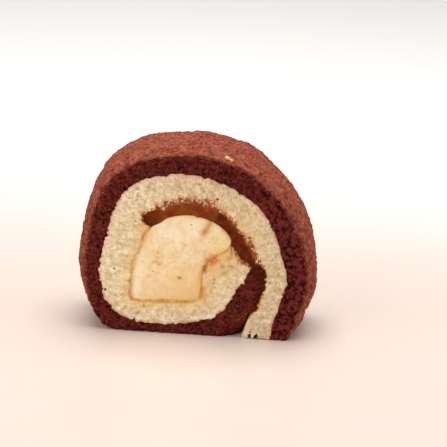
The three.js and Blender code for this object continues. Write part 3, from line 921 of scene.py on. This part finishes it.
# %% [markdown]
# ### Where the crumbs lie
#
# Most crumbs are scattered: every point of a cut face has a small chance of carrying one, and the
# rims of the skin, where the knife goes in and out, a larger one. Crumbs that catch the eye have
# places of their own: dark ones on the plain sponge, pale ones along the sauce, on the cocoa
# sponge and on the rim of its skin.

# %% Crumbs: cocoa
# chance at each point of the cocoa cut, of its skin's rim and of the plain cut, and lowest height
CUT_CHANCE, RIM_CHANCE, PLAIN_CHANCE, LOWEST = 0.012, 0.05, 0.006, 1.0
# least and greatest radius of scattered cocoa crumbs, of placed and of scattered plain ones
SMALL, DRAGGED, PULLED = (0.16, 0.42), (0.36, 0.6), (0.16, 0.36)


def on_faces(grid, first, last, chance):
    """Points of a grid between two columns, picked at random with this chance at each one."""
    part = grid[:, first:last].reshape(-1, 3)
    return part[draw.random(len(part)) < chance]


def at_spots(grid, first, last, spots):
    """For each spot, x and z, the nearest point of a grid between two columns."""
    part = grid[:, first:last].reshape(-1, 3)
    gap = part[None, :, ::2] - np.array(spots)[:, None]
    return part[(gap**2).sum(2).argmin(1)]


back = COCOA_FRONT + SKIN_COLUMNS
DARK_SPOTS = ((-28.0, 13.2), (5.2, 44.4), (-25.6, 20.2))
cut_places = np.vstack([
    at_spots(plain_grid, 1, PLAIN_FRONT, DARK_SPOTS),
    on_faces(cocoa_grid, 1, COCOA_FRONT, CUT_CHANCE),
    on_faces(cocoa_grid, back, back + COCOA_FRONT - 1, CUT_CHANCE),
])
rim_places = np.vstack([
    on_faces(cocoa_grid, COCOA_FRONT - 1, COCOA_FRONT + 3, RIM_CHANCE),
    on_faces(cocoa_grid, back - 3, back + 1, RIM_CHANCE),
])
paler = np.repeat((0.25, 1.0), (len(cut_places), len(rim_places)))
places = np.vstack([cut_places, rim_places])
off_table = places[:, 2] > LOWEST
places, paler = places[off_table], paler[off_table]
radii = draw.uniform(*SMALL, len(places))
# on a crumb this number is a random tone, the same one that paints the highlight on sponge hills
cocoa_crumbs = crumb_mesh("cocoa_crumbs", places, radii, {
    "skin": paler * draw.random(len(places)), "tone_and_hill_highlight": draw.uniform(0.3, 1.0, len(places)),
})
print("cocoa crumbs:", len(places))

# %% Crumbs: plain
back = PLAIN_FRONT + PLAIN_INNER
SAUCE_SPOTS = (
    (-12.0, 41.3), (-11.4, 41.8), (-7.5, 42.6), (-5.6, 42.7), (6.3, 40.3), (4.6, 41.0), (4.0, 43.6),
    (15.4, 32.2), (18.4, 25.4), (19.4, 24.9), (20.4, 24.4), (-14.2, 39.6), (-9.4, 41.4), (8.8, 39.2),
    (16.4, 29.2),
)
COCOA_SPOTS = ((5.9, 6.7), (5.0, 6.0), (10.3, 13.2), (14.3, 18.5))
EDGE_SPOTS = ((7.8, 56.8), (8.9, 56.4))
dragged = np.vstack([
    at_spots(plain_grid, 1, PLAIN_FRONT, SAUCE_SPOTS),
    at_spots(plain_grid, back, back + PLAIN_FRONT - 1, SAUCE_SPOTS[::2]),
    at_spots(cocoa_grid, 1, COCOA_FRONT, COCOA_SPOTS),
    at_spots(cocoa_grid, COCOA_FRONT, COCOA_FRONT + 20, EDGE_SPOTS),
])
sides = ((1, PLAIN_FRONT - 6), (back + 6, back + PLAIN_FRONT - 1))
pulled = np.vstack([on_faces(plain_grid, *side, PLAIN_CHANCE) for side in sides])
pulled = pulled[pulled[:, 2] > LOWEST]
places = np.vstack([dragged, pulled])
radii = np.concatenate([draw.uniform(*DRAGGED, len(dragged)), draw.uniform(*PULLED, len(pulled))])
is_dragged = (np.arange(len(places)) < len(dragged)) * 1.0
on_edge = is_dragged * (np.arange(len(places)) >= len(dragged) - len(EDGE_SPOTS))
radii *= 1 + 0.4 * on_edge
# on a crumb this number is a random tone, the same one that paints the highlight on sponge hills
plain_crumbs = crumb_mesh("plain_crumbs", places, radii, {
    "tone_and_hill_highlight": draw.uniform(0.3, 1.0, len(places)),
    "near_cocoa": is_dragged * draw.uniform(0.5, 0.9, len(places)),
    "halo": 0.4 * is_dragged + 0.6 * on_edge,
})
print("plain crumbs:", len(places))

# %% [markdown]
# ## Shader helpers
#
# Materials are built by code too, so a few helpers keep each one short. Colours are given as values
# on a screen, and one helper turns screen values into the linear ones that the shader works with.

# %% Material helpers
def paint(red, green, blue):
    """A linear colour from screen values of 0 to 255: the standard screen curve undone."""
    c = np.array((red, green, blue)) / 255
    c = np.where(c <= 0.04045, c / 12.92, ((c + 0.055) / 1.055) ** 2.4)
    return (*c, 1.0)


def plug(tree, node, key, value):
    """Sets an input, or links it when the value is another node's output."""
    socket = node.inputs[key]
    if isinstance(value, bpy.types.NodeSocket):
        tree.links.new(value, socket)
    else:
        socket.default_value = value


def new_node(tree, kind, settings=None, **inputs):
    """Adds a node, sets its properties, and sets or links its inputs by name."""
    node = tree.nodes.new(kind)
    for key, value in (settings or {}).items():
        setattr(node, key, value)
    for key, value in inputs.items():
        plug(tree, node, key.replace("_", " "), value)
    return node


def mix_colour(tree, factor, first, second):
    """The output of a colour mix: first where factor is 0, second where it is 1."""
    node = new_node(tree, "ShaderNodeMix", {"data_type": "RGBA"})
    for key, value in ((0, factor), (6, first), (7, second)):
        plug(tree, node, key, value)
    return node.outputs[2]


def maths(tree, operation, *numbers):
    """The output of a Math node."""
    node = new_node(tree, "ShaderNodeMath", {"operation": operation})
    for key, value in enumerate(numbers):
        plug(tree, node, key, value)
    return node.outputs[0]


def ramp(tree, value, low, high):
    """Maps low..high of a value to 0..1 with eased ends."""
    node = new_node(tree, "ShaderNodeMapRange", {"interpolation_type": "SMOOTHSTEP"})
    for key, number in enumerate((value, low, high, 0.0, 1.0)):
        plug(tree, node, key, number)
    return node.outputs[0]


def noise(tree, vector, size, detail):
    """The output of a noise whose blotches are about this many millimetres across."""
    node = new_node(tree, "ShaderNodeTexNoise", Vector=vector, Scale=1 / (size * MM), Detail=detail)
    return node.outputs[0]


def blotches(tree, vector, size, detail, low, high):
    """A mask of blotches of this size: 0 where the noise is under low, 1 where it is over high."""
    return ramp(tree, noise(tree, vector, size, detail), low, high)


def attribute(tree, name):
    """A number kept on the points of the mesh."""
    return new_node(tree, "ShaderNodeAttribute", {"attribute_name": name}).outputs["Fac"]


def tinted(tree, colour, mask, weight, tint):
    """A colour with a tint over it where a mask is 1, at most this strongly."""
    return mix_colour(tree, maths(tree, "MULTIPLY", mask, weight), colour, tint)


def tint_by_numbers(tree, colour, table):
    """A colour with one tint after another over it. Each row of the table gives the name of the
    number on the points that says where, the greatest strength and the tint."""
    for name, weight, tint in table:
        colour = tinted(tree, colour, attribute(tree, name), weight, tint)
    return colour


def new_group(name, inputs, outputs):
    """An empty shader group with named sockets, and its input and output nodes."""
    tree = bpy.data.node_groups.new(name, "ShaderNodeTree")
    for label, kind in inputs:
        tree.interface.new_socket(name=label, in_out="INPUT", socket_type=kind)
    for label, kind in outputs:
        tree.interface.new_socket(name=label, in_out="OUTPUT", socket_type=kind)
    return tree, tree.nodes.new("NodeGroupInput"), tree.nodes.new("NodeGroupOutput")


def new_material(name):
    """A material with its node tree, its principled shader and its object coordinates."""
    material = bpy.data.materials.new(name)
    material.use_nodes = True
    tree = material.node_tree
    shader = tree.nodes["Principled BSDF"]
    return material, tree, shader, new_node(tree, "ShaderNodeTexCoord").outputs["Object"]


# %% [markdown]
# ### Fine crumb
#
# Two things are too small for the mesh: the specks of air between its points, and the uneven tone
# of one crumb beside the next. Both sponges have them, so they are a shader group, built once and
# placed in each material with its own values. It gives a mask of tiny holes, which the materials
# use for painted shade in them, a tone from 0 to 1, and a height for the bump.

# %% Group: fine crumb
COLOR, FLOAT, VECTOR = "NodeSocketColor", "NodeSocketFloat", "NodeSocketVector"
fine_crumb, g_in, g_out = new_group(
    "fine_crumb",
    [("Vector", VECTOR), ("Hole Density", FLOAT), ("Grain Density", FLOAT)],
    [("Holes", FLOAT), ("Tone", FLOAT), ("Height", FLOAT)],
)
place, hole_density, grain_density = g_in.outputs[:3]
cells = new_node(fine_crumb, "ShaderNodeTexVoronoi", Vector=place, Scale=hole_density)
grain = new_node(fine_crumb, "ShaderNodeTexNoise", Vector=place, Scale=grain_density, Detail=4.0)
hole_mask = maths(fine_crumb, "SUBTRACT", 1.0, ramp(fine_crumb, cells.outputs["Distance"], 0.12, 0.5))
plug(fine_crumb, g_out, "Holes", hole_mask)
plug(fine_crumb, g_out, "Tone", ramp(fine_crumb, grain.outputs[0], 0.3, 0.7))
plug(fine_crumb, g_out, "Height", maths(fine_crumb, "MULTIPLY_ADD", hole_mask, -0.6, grain.outputs[0]))

# %% [markdown]
# ### Tone from deep to raised
#
# A crumb face is painted darker in its pits, as painted shade, and paler on its hills, as a painted
# highlight. The group blends three colours by two masks: a base tone that drifts, and a depth that
# pulls towards the pit colour.

# %% Group: three tones
three_tones, g_in, g_out = new_group(
    "three_tones",
    [("Drift", FLOAT), ("Depth", FLOAT), ("Dark", COLOR), ("Light", COLOR), ("Pit", COLOR)],
    [("Color", COLOR)],
)
drift, deep, dark, light, pit_shade = g_in.outputs[:5]
drifted = mix_colour(three_tones, drift, dark, light)
plug(three_tones, g_out, "Color", mix_colour(three_tones, deep, drifted, pit_shade))


def sponge_tones(tree, vector, depth, holes, grain, hole_shade, clump, **colours):
    """Colour and bump height of a sponge: the height of the hills, as a painted highlight, clumps of
    this many millimetres and fine crumb drive the three tones, in shares of 0.4, 0.35 and 0.25. The
    depth of the pits and the fine holes pull towards the pit colour as painted shade."""
    crumb = new_node(
        tree, "ShaderNodeGroup", {"node_tree": fine_crumb},
        Vector=vector, Hole_Density=holes, Grain_Density=grain,
    )
    coarse = maths(tree, "MULTIPLY", blotches(tree, vector, clump, 3.0, 0.38, 0.62), 0.35)
    # the height of the hills adds a painted highlight
    coarse = maths(tree, "MULTIPLY_ADD", attribute(tree, "tone_and_hill_highlight"), 0.4, coarse)
    drift = maths(tree, "MULTIPLY_ADD", crumb.outputs["Tone"], 0.25, coarse)
    # pits and fine holes pull towards the pit colour: painted shade
    depth = maths(tree, "MAXIMUM", depth, maths(tree, "MULTIPLY", crumb.outputs["Holes"], hole_shade))
    tones = new_node(tree, "ShaderNodeGroup", {"node_tree": three_tones}, Drift=drift, Depth=depth, **colours)
    return tones.outputs["Color"], crumb.outputs["Height"]


def add_bump(tree, shader, height, distance):
    """Feeds a height into the shader's normal; distance is in millimetres."""
    bump = new_node(tree, "ShaderNodeBump", Strength=1.0, Distance=distance * MM, Height=height)
    tree.links.new(bump.outputs["Normal"], shader.inputs["Normal"])


def set_shader(shader, **values):
    """Sets plain values on the shader's own sockets."""
    for key, value in values.items():
        shader.inputs[key.replace("_", " ")].default_value = value


# %% [markdown]
# ### Cocoa sponge
#
# The cut is very dark, and nearly black in its pores, where shade is painted into the colour, while
# the dry skin scatters more light and looks redder and lighter. Both are quite matt. On the right the
# crumb is more open, with dark hollows between its clumps, and sauce has stained the tongue: dark
# where it is thick, browner low down.

# %% Material: cocoa sponge
def cocoa_material():
    """Cut crumb and baked skin, blended by the skin number on the points."""
    material, tree, shader, place = new_material("cocoa_sponge")
    cut_colour, cut_height = sponge_tones(
        tree, place, maths(tree, "MULTIPLY", attribute(tree, "pit_shade"), 0.8),
        holes=1300.0, grain=1300.0, hole_shade=0.3, clump=1.0,
        # Pit is the colour of the painted shade in the pores
        Dark=paint(24, 3, 3), Light=paint(134, 54, 45), Pit=paint(22, 4, 3),
    )
    dark_spots = blotches(tree, place, 1.5, 4.0, 0.5, 0.66)
    cut_colour = tinted(tree, cut_colour, dark_spots, 0.35, paint(40, 8, 8))
    hollow = blotches(tree, place, 1.3, 3.0, 0.4, 0.6)
    open_crumb = mix_colour(tree, hollow, paint(118, 46, 42), paint(40, 8, 10))
    above_table = new_node(tree, "ShaderNodeSeparateXYZ", Vector=place).outputs["Z"]
    thick_syrup = ramp(tree, above_table, 7 * MM, 13 * MM)
    syrup = mix_colour(tree, thick_syrup, paint(122, 58, 22), paint(76, 28, 6))
    cut_colour = tint_by_numbers(tree, cut_colour, (("open", 0.8, open_crumb), ("stain", 0.8, syrup)))
    skin_colour, skin_height = sponge_tones(
        tree, place, maths(tree, "MULTIPLY", blotches(tree, place, 1.0, 4.0, 0.5, 0.72), 0.6),
        holes=1200.0, grain=1500.0, hole_shade=0.35, clump=1.2,
        Dark=paint(87, 31, 22), Light=paint(180, 100, 78), Pit=paint(62, 20, 13),
    )
    bloom = blotches(tree, place, 3.0, 6.0, 0.5, 0.62)
    skin_colour = tinted(tree, skin_colour, bloom, 0.22, paint(194, 118, 92))
    is_skin = attribute(tree, "skin")
    plug(tree, shader, "Base Color", mix_colour(tree, is_skin, cut_colour, skin_colour))
    height = new_node(tree, "ShaderNodeMix", {"data_type": "FLOAT"}, Factor=is_skin)
    plug(tree, height, 2, cut_height)
    plug(tree, height, 3, skin_height)
    add_bump(tree, shader, height.outputs[0], 0.16)
    set_shader(shader, Roughness=0.9, Specular_IOR_Level=0.03)
    return material


# %% [markdown]
# ### Plain sponge
#
# Pale crumb lets light in a little way, so shadows inside its pores are warm, not grey, and the
# shade painted into its pores is warm too. Its marks are painted from the numbers on the points: the
# golden halo where custard soaked in, the brown stain where caramel did, the tint beside the cocoa
# sponge, and a few small spots. Painted shade darkens its olive pit spots and its nicks at the
# table, and painted highlights lighten its hills and the pale lips beside the cocoa sponge. The
# colours of what soaked in, and the two bright marks between custard and sponge, serve other
# materials too.

# %% Colours of what soaked in
def soak_colour(tree, place):
    """Golden brown where custard soaked in, paler here and browner there, redder with caramel."""
    pale = blotches(tree, place, 2.6, 2.0, 0.4, 0.6)
    golden = mix_colour(tree, pale, paint(202, 150, 74), paint(230, 178, 108))
    return mix_colour(tree, attribute(tree, "warm"), golden, paint(206, 132, 72))


def soaked_through(tree, place):
    """Crumb full of caramel: red-brown here and orange-brown there."""
    pale = blotches(tree, place, 2.2, 2.0, 0.42, 0.6)
    return mix_colour(tree, pale, paint(134, 58, 34), paint(148, 84, 28))


def bright_marks(tree, place, colour):
    """The orange and the rust-brown mark over a colour. Each is strong in its middle and fades out
    unevenly: noise shifts its strength, and less of it shows where a second, finer noise is low."""
    for name, tint in (("orange", paint(208, 118, 50)), ("rust", paint(160, 84, 38))):
        mark = attribute(tree, name)
        broken = maths(tree, "MULTIPLY_ADD", noise(tree, place, 1.4, 5.0), 1.6, mark)
        fine = maths(tree, "MULTIPLY_ADD", blotches(tree, place, 0.7, 3.0, 0.35, 0.6), 0.35, 0.6)
        faded = maths(tree, "MULTIPLY", ramp(tree, broken, 0.8, 1.9), ramp(tree, mark, 0.0, 0.35))
        colour = tinted(tree, colour, faded, fine, tint)
    return colour


# %% Material: plain sponge
def plain_material():
    """Cream crumb with soft subsurface light, painted shade and highlights, and the halo, stain and spots of
    its fillings.
    """
    material, tree, shader, place = new_material("plain_sponge")
    colour, height = sponge_tones(
        tree, place, maths(tree, "MULTIPLY", attribute(tree, "pit_shade"), 0.6),
        holes=1100.0, grain=1300.0, hole_shade=0.2, clump=1.2,
        # Pit is the colour of the painted shade in the pores
        Dark=paint(208, 178, 128), Light=paint(255, 246, 215), Pit=paint(172, 146, 98),
    )
    is_open = attribute(tree, "open")
    hollow = maths(tree, "MULTIPLY", blotches(tree, place, 0.8, 4.0, 0.5, 0.64), is_open)
    colour = tinted(tree, colour, hollow, 0.55, paint(166, 142, 106))
    raised = maths(tree, "MULTIPLY", blotches(tree, place, 1.1, 3.0, 0.54, 0.66), is_open)
    colour = tinted(tree, colour, raised, 0.6, paint(255, 242, 226))
    soak_strength = blotches(tree, place, 1.0, 3.0, 0.15, 0.45)
    colour = tint_by_numbers(tree, colour, (
        # partly squeezed crumb, partly painted shade
        ("squeeze_and_shade", 0.3, paint(204, 166, 122)),
        ("near_cocoa", 0.95, paint(212, 154, 130)),
        # olive spots: painted shade in pits
        ("olive_pit_shade", 1.0, paint(136, 116, 58)),
        # pale lips: painted highlights
        ("lip_highlight", 0.9, paint(255, 230, 214)),
        ("halo", 0.78, paint(236, 188, 112)),
        ("soak", soak_strength, soak_colour(tree, place)),
        ("ochre", 1.0, paint(204, 144, 68)),
    ))
    colour = bright_marks(tree, place, colour)
    stained = maths(tree, "MULTIPLY_ADD", noise(tree, place, 0.8, 5.0), 1.5, attribute(tree, "stain"))
    colour = mix_colour(tree, ramp(tree, stained, 0.95, 1.45), colour, paint(210, 158, 108))
    colour = mix_colour(tree, ramp(tree, stained, 1.35, 1.8), colour, soaked_through(tree, place))
    # painted shade, nearly black, inside the nicks at the table
    colour = mix_colour(tree, attribute(tree, "nick_shade"), colour, paint(40, 20, 8))
    plug(tree, shader, "Base Color", colour)
    add_bump(tree, shader, height, 0.12)
    set_shader(
        shader, Roughness=0.85, Specular_IOR_Level=0.1,
        Subsurface_Weight=0.25, Subsurface_Radius=(1.0, 0.6, 0.35), Subsurface_Scale=1.2 * MM,
    )
    return material


# %% [markdown]
# ### Custard
#
# Set custard is smooth and moist: soft light from inside, and a satin sheen on top. Its colour
# deepens towards the rim, where it met the caramel and the sponge, and is never quite even: faint
# clouds and smaller flecks drift over it.

# %% Material: custard
def custard_material():
    """Satin cream with faint clouds and flecks, a golden rim, brown streaks, light lines painted as
    highlights on small ridges, the two bright marks and a few vanilla specks."""
    material, tree, shader, place = new_material("custard")
    slow = blotches(tree, place, 6.0, 2.0, 0.35, 0.65)
    colour = mix_colour(tree, slow, paint(243, 220, 171), paint(249, 232, 194))
    colour = tint_by_numbers(tree, colour, (
        ("pale", 0.8, paint(250, 236, 209)),
        ("deep", 0.9, paint(238, 196, 126)),
    ))
    clouds = blotches(tree, place, 3.4, 4.0, 0.44, 0.66)
    colour = tinted(tree, colour, clouds, 0.6, paint(238, 202, 144))
    flecks = blotches(tree, place, 1.1, 4.0, 0.44, 0.64)
    fleck_strength = maths(tree, "MULTIPLY_ADD", attribute(tree, "pale"), -0.35, 0.65)
    colour = tinted(tree, colour, flecks, fleck_strength, paint(234, 200, 152))
    colour = tint_by_numbers(tree, colour, (
        ("edge", 0.5, paint(236, 188, 118)),
        ("soak", 0.9, soak_colour(tree, place)),
        ("ochre", 0.5, paint(218, 156, 86)),
        ("streak", 1.0, paint(204, 142, 72)),
        # painted highlight on the small ridges
        ("ridge_highlight", 0.9, paint(255, 240, 214)),
        ("speck", 1.0, paint(124, 78, 26)),
    ))
    plug(tree, shader, "Base Color", bright_marks(tree, place, colour))
    plug(tree, shader, "Roughness", maths(tree, "MULTIPLY_ADD", noise(tree, place, 1.5, 3.0), 0.2, 0.32))
    add_bump(tree, shader, noise(tree, place, 0.8, 4.0), 0.07)
    set_shader(
        shader, Specular_IOR_Level=0.3,
        Subsurface_Weight=0.35, Subsurface_Radius=(1.0, 0.65, 0.4), Subsurface_Scale=2.0 * MM,
    )
    return material


# %% [markdown]
# ### Caramel
#
# A thick dark syrup is nearly opaque. What makes it read as wet is a low roughness that changes a
# little, so that highlights break up. They are kept faint, because crumb and custard have clouded
# the sauce. Where it thins out, first stained crumb and then pale crumb shows through.

# %% Material: caramel
def caramel_material():
    """Dark glossy syrup, redder over the middle of the bar, darker to the right of it, and mixed
    with crumb where it thins out into the sponge."""
    material, tree, shader, place = new_material("caramel")
    slow = blotches(tree, place, 2.2, 3.0, 0.35, 0.7)
    colour = mix_colour(tree, slow, paint(84, 34, 1), paint(116, 48, 8))
    broad, narrow = blotches(tree, place, 3.2, 2.0, 0.42, 0.58), blotches(tree, place, 2.6, 2.0, 0.42, 0.58)
    colour = tint_by_numbers(tree, colour, (
        ("middle", 0.65, mix_colour(tree, broad, paint(136, 52, 22), paint(146, 76, 14))),
        ("deep", 0.7, mix_colour(tree, narrow, paint(80, 22, 10), paint(108, 42, 4))),
        ("tail", 1.0, paint(74, 28, 4)),
    ))
    thin = maths(tree, "MULTIPLY_ADD", noise(tree, place, 0.9, 5.0), 1.4, attribute(tree, "thin"))
    colour = mix_colour(tree, ramp(tree, thin, 0.95, 1.55), colour, soaked_through(tree, place))
    colour = mix_colour(tree, ramp(tree, thin, 1.6, 1.95), colour, paint(226, 172, 134))
    plug(tree, shader, "Base Color", colour)
    plug(tree, shader, "Roughness", maths(tree, "MULTIPLY_ADD", noise(tree, place, 0.9, 3.0), 0.35, 0.1))
    add_bump(tree, shader, noise(tree, place, 0.9, 3.0), 0.1)
    set_shader(shader, Specular_IOR_Level=0.07)
    return material


# %% [markdown]
# ### Putting the materials on
#
# Each piece is given its material and the body that it rides on, and takes the place of the plain
# solid that it stands for, which is hidden. Loose crumbs share the material of the sponge that
# they came from.

# %% Dress the pieces
for piece, make, node, slot, crumbs in (
    (cocoa, cocoa_material, "cocoa_sponge", "cocoa_sponge", cocoa_crumbs),
    (plain, plain_material, "plain_sponge", "plain_sponge", plain_crumbs),
    (custard, custard_material, "custard_bar", "custard", None),
    (caramel, caramel_material, "caramel_sauce", "caramel", None),
):
    piece.data.materials.append(make())
    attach(piece, "root")
    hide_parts(node)
    if crumbs:
        crumbs.data.materials.append(piece.data.materials[0])
        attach(crumbs, "root")
    print(piece.name, "takes the place of", node)

# %% [markdown]
# ## Floor, light and camera
#
# The stage is a plain pale table top in soft light, as a product is shown: a wide light above and
# a little behind, a weaker one in front on the left, a faint one on the right, and a bright room
# all round. The camera looks a little down on the slice through a long lens, and it is rolled a
# few degrees.

# %% Stage
bpy.ops.mesh.primitive_plane_add(size=6.0, location=(0, 0, 0))
floor = bpy.context.object
floor.name = "table_top"
floor_material, tree, shader, place = new_material("table_top")
pale = mix_colour(tree, noise(tree, place, 60.0, 2.0), paint(222, 204, 192), paint(227, 210, 200))
behind = new_node(tree, "ShaderNodeSeparateXYZ", Vector=place).outputs["Y"]
# further back the table top is painted lighter: painted light that lets it fade into a bright backdrop
pale = mix_colour(tree, ramp(tree, behind, 0.0, 0.25), pale, paint(247, 245, 243))
plug(tree, shader, "Base Color", pale)
set_shader(shader, Roughness=0.45)
floor.data.materials.append(floor_material)

world = bpy.data.worlds.new("studio")
bpy.context.scene.world = world
world.use_nodes = True
set_shader(world.node_tree.nodes["Background"], Color=(1.0, 0.98, 0.96, 1.0), Strength=0.42)


def soft_light(name, place, aim, size, power, colour):
    """A square area light at a place, turned to face the aim, all in metres."""
    data = bpy.data.lights.new(name, "AREA")
    data.size, data.energy, data.color = size, power, colour
    made = bpy.data.objects.new(name, data)
    facing = (Vector(aim) - Vector(place)).to_track_quat("-Z", "Y").to_matrix().to_4x4()
    made.matrix_world = Matrix.Translation(place) @ facing
    bpy.context.scene.collection.objects.link(made)


soft_light("light_above", (0.0, 0.12, 0.75), (0, 0.1, 0.0), 0.6, 6.0, (1.0, 0.99, 0.98))
soft_light("light_front", (-0.34, -0.4, 0.2), (0, 0, 0.03), 0.4, 1.28, (1.0, 0.99, 0.98))
soft_light("light_right", (0.55, 0.0, 0.2), (0, 0, 0.03), 0.5, 0.8, (1.0, 0.98, 0.97))
bpy.context.scene.view_settings.view_transform = "Standard"

# %% Camera
# angles to the right, upward and about the line of sight in degrees, and the distance
AZIMUTH, ELEVATION, ROLL, DISTANCE = 2.652, 17.0, 2.876, 0.6
TARGET = Vector((6.93, 0.0, 32.509)) * MM
# side of the picture and focal length, both in pixels, and width of the sensor in millimetres
FRAME_PIXELS, PIXELS_FOR_FOCAL, SENSOR = 447, 1920, 36.0
a, e, roll = (math.radians(v) for v in (AZIMUTH, ELEVATION, ROLL))
toward = Vector((math.sin(a) * math.cos(e), -math.cos(a) * math.cos(e), math.sin(e)))
right = Vector((math.cos(a), math.sin(a), 0))
up = toward.cross(right)
turned = Matrix((
    math.cos(roll) * right + math.sin(roll) * up,
    math.cos(roll) * up - math.sin(roll) * right,
    toward,
)).transposed()
camera_data = bpy.data.cameras.new("camera")
camera_data.sensor_width = SENSOR
camera_data.lens = SENSOR * PIXELS_FOR_FOCAL / FRAME_PIXELS
camera_data.clip_start = 0.05
camera = bpy.data.objects.new("camera", camera_data)
camera.matrix_world = Matrix.Translation(TARGET + toward * DISTANCE) @ turned.to_4x4()
bpy.context.scene.collection.objects.link(camera)
bpy.context.scene.camera = camera
print("lens, mm:", round(camera_data.lens, 1))
